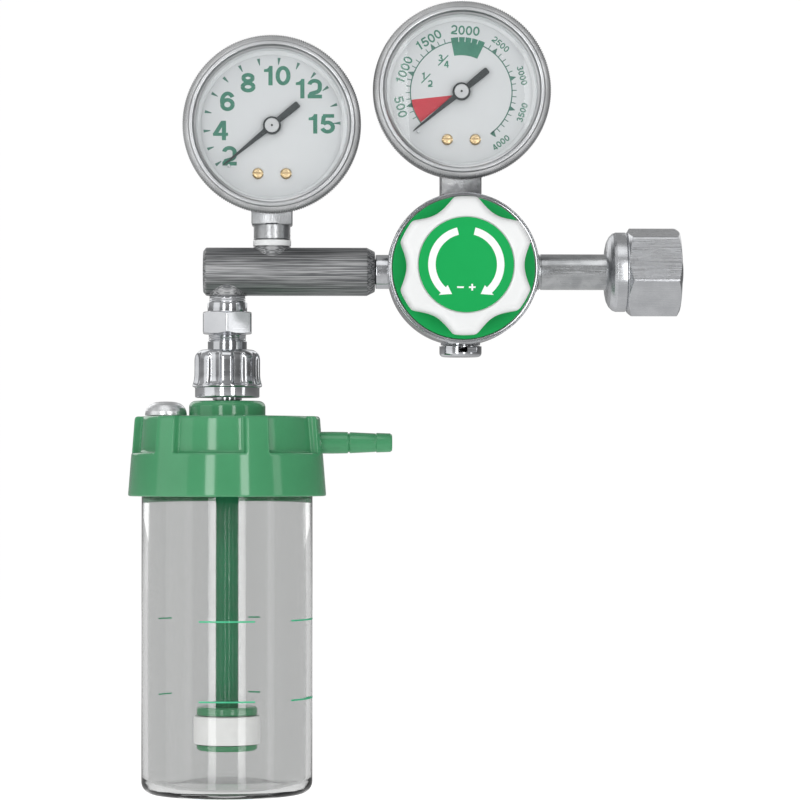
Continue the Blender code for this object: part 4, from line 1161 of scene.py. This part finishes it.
# ------------------------------------------------------------------ tube, diffuser and bottle
tube = turned("dip_tube_moulded", STACK, "Z", [(2.5, -57.6), (4.25, -57.6), (4.25, -161.9), (2.5, -161.9)], 96, 0.2)
put(tube, "humidifier", "green_plastic", GREEN_DARK, "dip_tube")
top_cap = turned(
    "diffuser_cap_upper",
    STACK,
    "Z",
    [(4.55, -160.4), (10.6, -160.4), (11.2, -161.0), (11.2, -163.5), (2.5, -163.5), (2.5, -162.2), (4.55, -162.2)],
    128,
    0.3,
)
put(top_cap, "humidifier", "green_plastic", GREEN, "diffuser_top_cap")
element_rows = [(5.5, -163.8), (11.9, -163.8), (12.25, -164.2), (12.25, -173.8), (11.9, -174.2), (5.5, -174.2)]
element = turned("diffuser_sintered_ring", STACK, "Z", element_rows, 128, 0.3)
put(element, "humidifier", "sintered", SINTERED, "diffuser_element")
base_cap = turned(
    "diffuser_cap_lower",
    STACK,
    "Z",
    [(0, -165.0), (3.0, -165.0), (3.0, -174.5), (11.2, -174.5), (11.2, -176.0), (10.6, -176.6), (0, -176.6)],
    128,
    0.3,
)
put(base_cap, "humidifier", "green_plastic", GREEN, "diffuser_bottom_cap")

FOOT = -192.2
bottle_rows = [(28.1, -66.8), (28.3, -67.0), (28.3, -72.0), (28.6, -72.6), (30.7, -74.2), (31.3, -75.2), (31.5, -76.6)]
bottle_rows += arc(31.5 - 4.4, FOOT + 4.4, 4.4, 0, -90, 14)
bottle_rows += [
    (21.0, FOOT), (20.2, FOOT + 0.15), (18.5, FOOT + 1.0), (14.0, FOOT + 2.0), (9.0, FOOT + 2.6), (0, FOOT + 3.0),
    (0, FOOT + 5.2), (9.0, FOOT + 4.8), (14.0, FOOT + 4.2), (19.5, FOOT + 3.1), (24.0, FOOT + 2.4), (26.0, FOOT + 2.4),
    (27.4, FOOT + 2.75), (28.5, FOOT + 3.6), (29.1, FOOT + 4.8), (29.3, FOOT + 6.2), (29.3, -77.3), (28.6, -75.4),
    (26.1, -73.3), (26.1, -67.0), (26.3, -66.8),
]


bottle_turns = angles(192)
foot_out = bottle_rows.index((0, FOOT + 3.0)) + 1
bottle_rings = [ring(r, h, bottle_turns) for r, h in bottle_rows[foot_out:] + bottle_rows[:foot_out]]
bottle = shaped("humidifier_bottle", STACK, "Z", bottle_rings, sharp=50)
bottle.visible_shadow = False
bottle.visible_diffuse = False
put(bottle, "bottle", "clear", CLEAR, "bottle")


def level_mark(name, height, spans):
    """A printed line round the bottle. spans are (start, end) in degrees from -Y towards +X."""
    rows = []
    shape = bmesh.new()
    for start, end in spans:
        sweep = np.linspace(start, end, max(3, int(abs(end - start) / 2) + 1))
        rings = []
        for turn in sweep:
            t = math.radians(turn - 90)
            rings.append(
                [
                    shape.verts.new((r * math.cos(t) * MM, r * math.sin(t) * MM, (height + dz) * MM))
                    for r, dz in ((31.45, -0.28), (31.56, -0.28), (31.56, 0.28), (31.45, 0.28))
                ]
            )
        for a, b in zip(rings, rings[1:]):
            for i in range(4):
                shape.faces.new((a[i], a[(i + 1) % 4], b[(i + 1) % 4], b[i]))
        shape.faces.new(rings[0])
        shape.faces.new(rings[-1])
    bmesh.ops.recalc_face_normals(shape, faces=shape.faces)
    mesh = bpy.data.meshes.new(name)
    shape.to_mesh(mesh)
    shape.free()
    obj = bpy.data.objects.new(name, mesh)
    bpy.context.scene.collection.objects.link(obj)
    obj.location = Vector(STACK) * MM
    put(obj, "bottle", "green_label", LEVEL_INK)


level_mark("level_line_upper", -128.0, [(-17.5, 20), (49, 92), (157, 166), (-135, -119)])
level_mark("level_line_lower", -156.9, [(-17.5, 20), (49, 92), (157, 166), (-135, -119)])


# ------------------------------------------------------------------ springs and diaphragm inside
def coil(name, body, origin, axis, radius, wire, fixed):
    """A wound spring in place of its CAD node."""
    along = "XYZ".index(axis)
    start, end = (corner[along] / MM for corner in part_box(name))
    path = np.linspace(0, 4 * TAU, 161)
    heights = np.linspace(start + wire, end - wire, 161)
    round_wire = angles(12)
    points = []
    for turn, height in zip(path, heights):
        for t in round_wire:
            away = radius + wire * math.cos(t)
            points.append((away * math.cos(turn), away * math.sin(turn), height + wire * math.sin(t)))
    faces = [list(range(12)), list(range(160 * 12, 161 * 12))]
    for k in range(160):
        faces += [[12 * k + i, 12 * k + (i + 1) % 12, 12 * k + 12 + (i + 1) % 12, 12 * k + 12 + i] for i in range(12)]
    spring = mesh_object(name + "_wound", points, faces, origin, axis, 50)
    put(spring, body, "spring_steel", SPRING, name)
    anchor = [c * MM for c in origin]
    anchor[along] = (end if fixed == "high" else start) * MM
    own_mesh(spring)


coil("adjusting_spring", "regulator", BODY, "Y", 8.1, 1.15, "high")
coil("poppet_spring", "regulator", BODY, "Y", 2.5, 0.4, "high")
coil("relief_spring", "regulator", BODY, "Z", 2.5, 0.35, "low")
coil("safety_valve_spring", "humidifier", VALVE, "Z", 2.6, 0.35, "high")
membrane = turned(
    "diaphragm_moulded",
    BODY,
    "Y",
    [(0, -8.3), (12.5, -8.3), (13.6, -7.5), (15.0, -7.1), (16.4, -7.5), (17.4, -8.3), (25.5, -8.3),
     (25.5, -7.8), (17.4, -7.8), (16.1, -7.0), (15.0, -6.6), (13.9, -7.0), (12.5, -7.8), (0, -7.8)],
    128,
    0.15,
)
put(membrane, "regulator", "rubber", RUBBER, "diaphragm")
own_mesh(membrane)


# ------------------------------------------------------------------ CAD nodes that stay
BRASS_CAST = metal("brass_inside", (0.78, 0.56, 0.24), (0.66, 0.44, 0.16), (0.22, 0.34), (1, 1, 1), 0.3, 1200.0, 0.12)
STAYING = {
    "diaphragm_plate": BRASS_CAST,
    "spring_button": BRASS_CAST,
    "valve_nozzle": BRASS_CAST,
    "valve_poppet": BRASS_CAST,
    "relief_poppet": BRASS_CAST,
    "inlet_filter": BRASS_CAST,
    "flow_orifice": BRASS_CAST,
    "lid_gasket": RUBBER,
    "safety_valve_disc": WHITE,
    "flow_movement_plate": BRASS_CAST,
    "contents_movement_plate": BRASS_CAST,
    "flow_sector_gear": BRASS_CAST,
    "contents_sector_gear": BRASS_CAST,
    "flow_bourdon_tube": BRASS_CAST,
    "contents_bourdon_tube": BRASS_CAST,
}
for name, look in STAYING.items():
    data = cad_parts[name].data
    data.materials.clear()
    data.materials.append(look)


# ------------------------------------------------------------------ studio
def stage_look(name, colour, emission, far=None):
    made, tree, shader = fresh(name, colour, 0.0, 0.9)
    shader.inputs["Emission Color"].default_value = (1, 1, 1, 1)
    shader.inputs["Emission Strength"].default_value = emission
    soft = noise(tree, places(tree), 3.0)
    near = tuple(c * 0.995 for c in colour)
    tree.links.new(blended(tree, soft, colour, near), shader.inputs["Base Color"])
    if far is not None:
        # The floor glows more with distance, so that it meets the backdrop without a line.
        gradient = node(tree, "ShaderNodeTexGradient", gradient_type="SPHERICAL")
        tree.links.new(places(tree, (0.4, 0.4, 0.4)), gradient.inputs[0])
        tree.links.new(remap(tree, gradient.outputs[1], 0.0, 0.9, far, emission), shader.inputs["Emission Strength"])
    return made


# The regulator hangs from a cylinder valve by its inlet. The floor leaves room under it for the bottle to be pulled off.
BOTTLE_TRAVEL = 0.13
FLOOR_Z = CAD_BOX[0].z - BOTTLE_TRAVEL - 0.001
floor_points = [(0, 0, 0)] + [(*polar(4900, a), 0) for a in np.arange(0, 360, 5)]
floor = mesh_object("floor", floor_points, [[0, 1 + i, 1 + (i + 1) % 72] for i in range(72)])
floor.location.z = FLOOR_Z
floor.data.materials.append(stage_look("pale_floor", (0.55, 0.55, 0.55), 0.62, 0.9))
floor.visible_glossy = False
floor.visible_transmission = False

sky_turns = angles(64)
sky = shaped(
    "backdrop",
    CENTRE,
    "Z",
    [ring(5000 * math.cos(a), 5000 * math.sin(a), sky_turns) for a in np.radians(np.linspace(-60, 89, 50))]
    + [ring(0, 5000, sky_turns)],
)
sky.data.materials.append(stage_look("pale_backdrop", (0.0, 0.0, 0.0), 1.0))
for flag in ("visible_diffuse", "visible_glossy", "visible_shadow"):
    setattr(sky, flag, False)

AIM = Vector((-0.1045, 0, -0.0474))
AWAY = 1.30
CAMERA_TURN = math.radians(-1.5)
CAMERA_RISE = math.radians(-1.1)


def around(turn, rise, away):
    """A point seen from the aim point: turn 0 is in front, positive to the right."""
    return AIM + Vector(
        (math.sin(turn) * math.cos(rise), -math.cos(turn) * math.cos(rise), math.sin(rise))
    ) * away


camera_data = bpy.data.cameras.new("photo_camera")
camera_data.sensor_width = 36
camera_data.lens = 36 / (2 * math.tan(math.radians(13 / 2)))
camera_data.clip_start = 0.05
camera_data.clip_end = 20
camera = bpy.data.objects.new("photo_camera", camera_data)
bpy.context.scene.collection.objects.link(camera)
camera.location = around(CAMERA_TURN, CAMERA_RISE, AWAY)
camera.rotation_mode = "QUATERNION"
camera.rotation_quaternion = (AIM - camera.location).to_track_quat("-Z", "Y")
bpy.context.scene.camera = camera


def strip(name, turn, rise, away, wide, tall, power, colour=(1, 1, 1)):
    """A soft box that faces the object and isn't seen by the camera."""
    data = bpy.data.lights.new(name, "AREA")
    data.shape = "RECTANGLE"
    data.size = wide
    data.size_y = tall
    data.energy = power
    data.color = colour
    lamp = bpy.data.objects.new(name, data)
    bpy.context.scene.collection.objects.link(lamp)
    lamp.location = around(math.radians(turn), math.radians(rise), away)
    lamp.rotation_mode = "QUATERNION"
    lamp.rotation_quaternion = (AIM - lamp.location).to_track_quat("-Z", "Y")
    lamp.visible_camera = False
    return lamp


strip("left_strip", -21, 2, 1.45, 0.26, 1.3, 6.0)
strip("right_strip", 19, 2, 1.45, 0.26, 1.3, 6.0)
strip("top_soft_box", -10, 62, 1.6, 1.4, 1.0, 4.5)
strip("left_soft_box", -68, 4, 1.6, 1.2, 1.5, 4.3)
strip("right_soft_box", 61, 4, 1.6, 0.3, 1.3, 2.0)
strip("rear_left_box", -150, 25, 1.8, 0.9, 1.2, 3.5)
strip("rear_right_box", 150, 25, 1.8, 0.9, 1.2, 3.0)

world = bpy.data.worlds.new("studio")
bpy.context.scene.world = world
world.use_nodes = True
wt = world.node_tree
wt.nodes.clear()
out = wt.nodes.new("ShaderNodeOutputWorld")
shade = wt.nodes.new("ShaderNodeBackground")
coords = wt.nodes.new("ShaderNodeTexCoord")
split = wt.nodes.new("ShaderNodeSeparateXYZ")
ramp = wt.nodes.new("ShaderNodeValToRGB")
ramp.color_ramp.interpolation = "EASE"
for i, (place, grey) in enumerate(((0.0, 0.80), (0.30, 0.70), (0.44, 0.36), (0.5, 0.30), (0.55, 0.22), (0.64, 0.38), (0.8, 0.40), (1.0, 0.44))):
    stop = ramp.color_ramp.elements[i] if i < 2 else ramp.color_ramp.elements.new(place)
    stop.position = place
    stop.color = (grey, grey, grey, 1)
shift = wt.nodes.new("ShaderNodeMapRange")
shift.inputs[1].default_value = -1
shift.inputs[2].default_value = 1
wt.links.new(coords.outputs["Generated"], split.inputs[0])
wt.links.new(split.outputs[2], shift.inputs[0])
wt.links.new(shift.outputs[0], ramp.inputs[0])
wt.links.new(ramp.outputs[0], shade.inputs[0])
side = wt.nodes.new("ShaderNodeMapRange")
for i, number in enumerate((-1.0, 1.0, 1.35, 0.55)):
    side.inputs[i + 1].default_value = number
wt.links.new(split.outputs[0], side.inputs[0])
wt.links.new(side.outputs[0], shade.inputs[1])
wt.links.new(shade.outputs[0], out.inputs[0])
shade.inputs[1].default_value = 1.0

bpy.context.scene.view_settings.view_transform = "Standard"
bpy.context.scene.view_settings.look = "None"
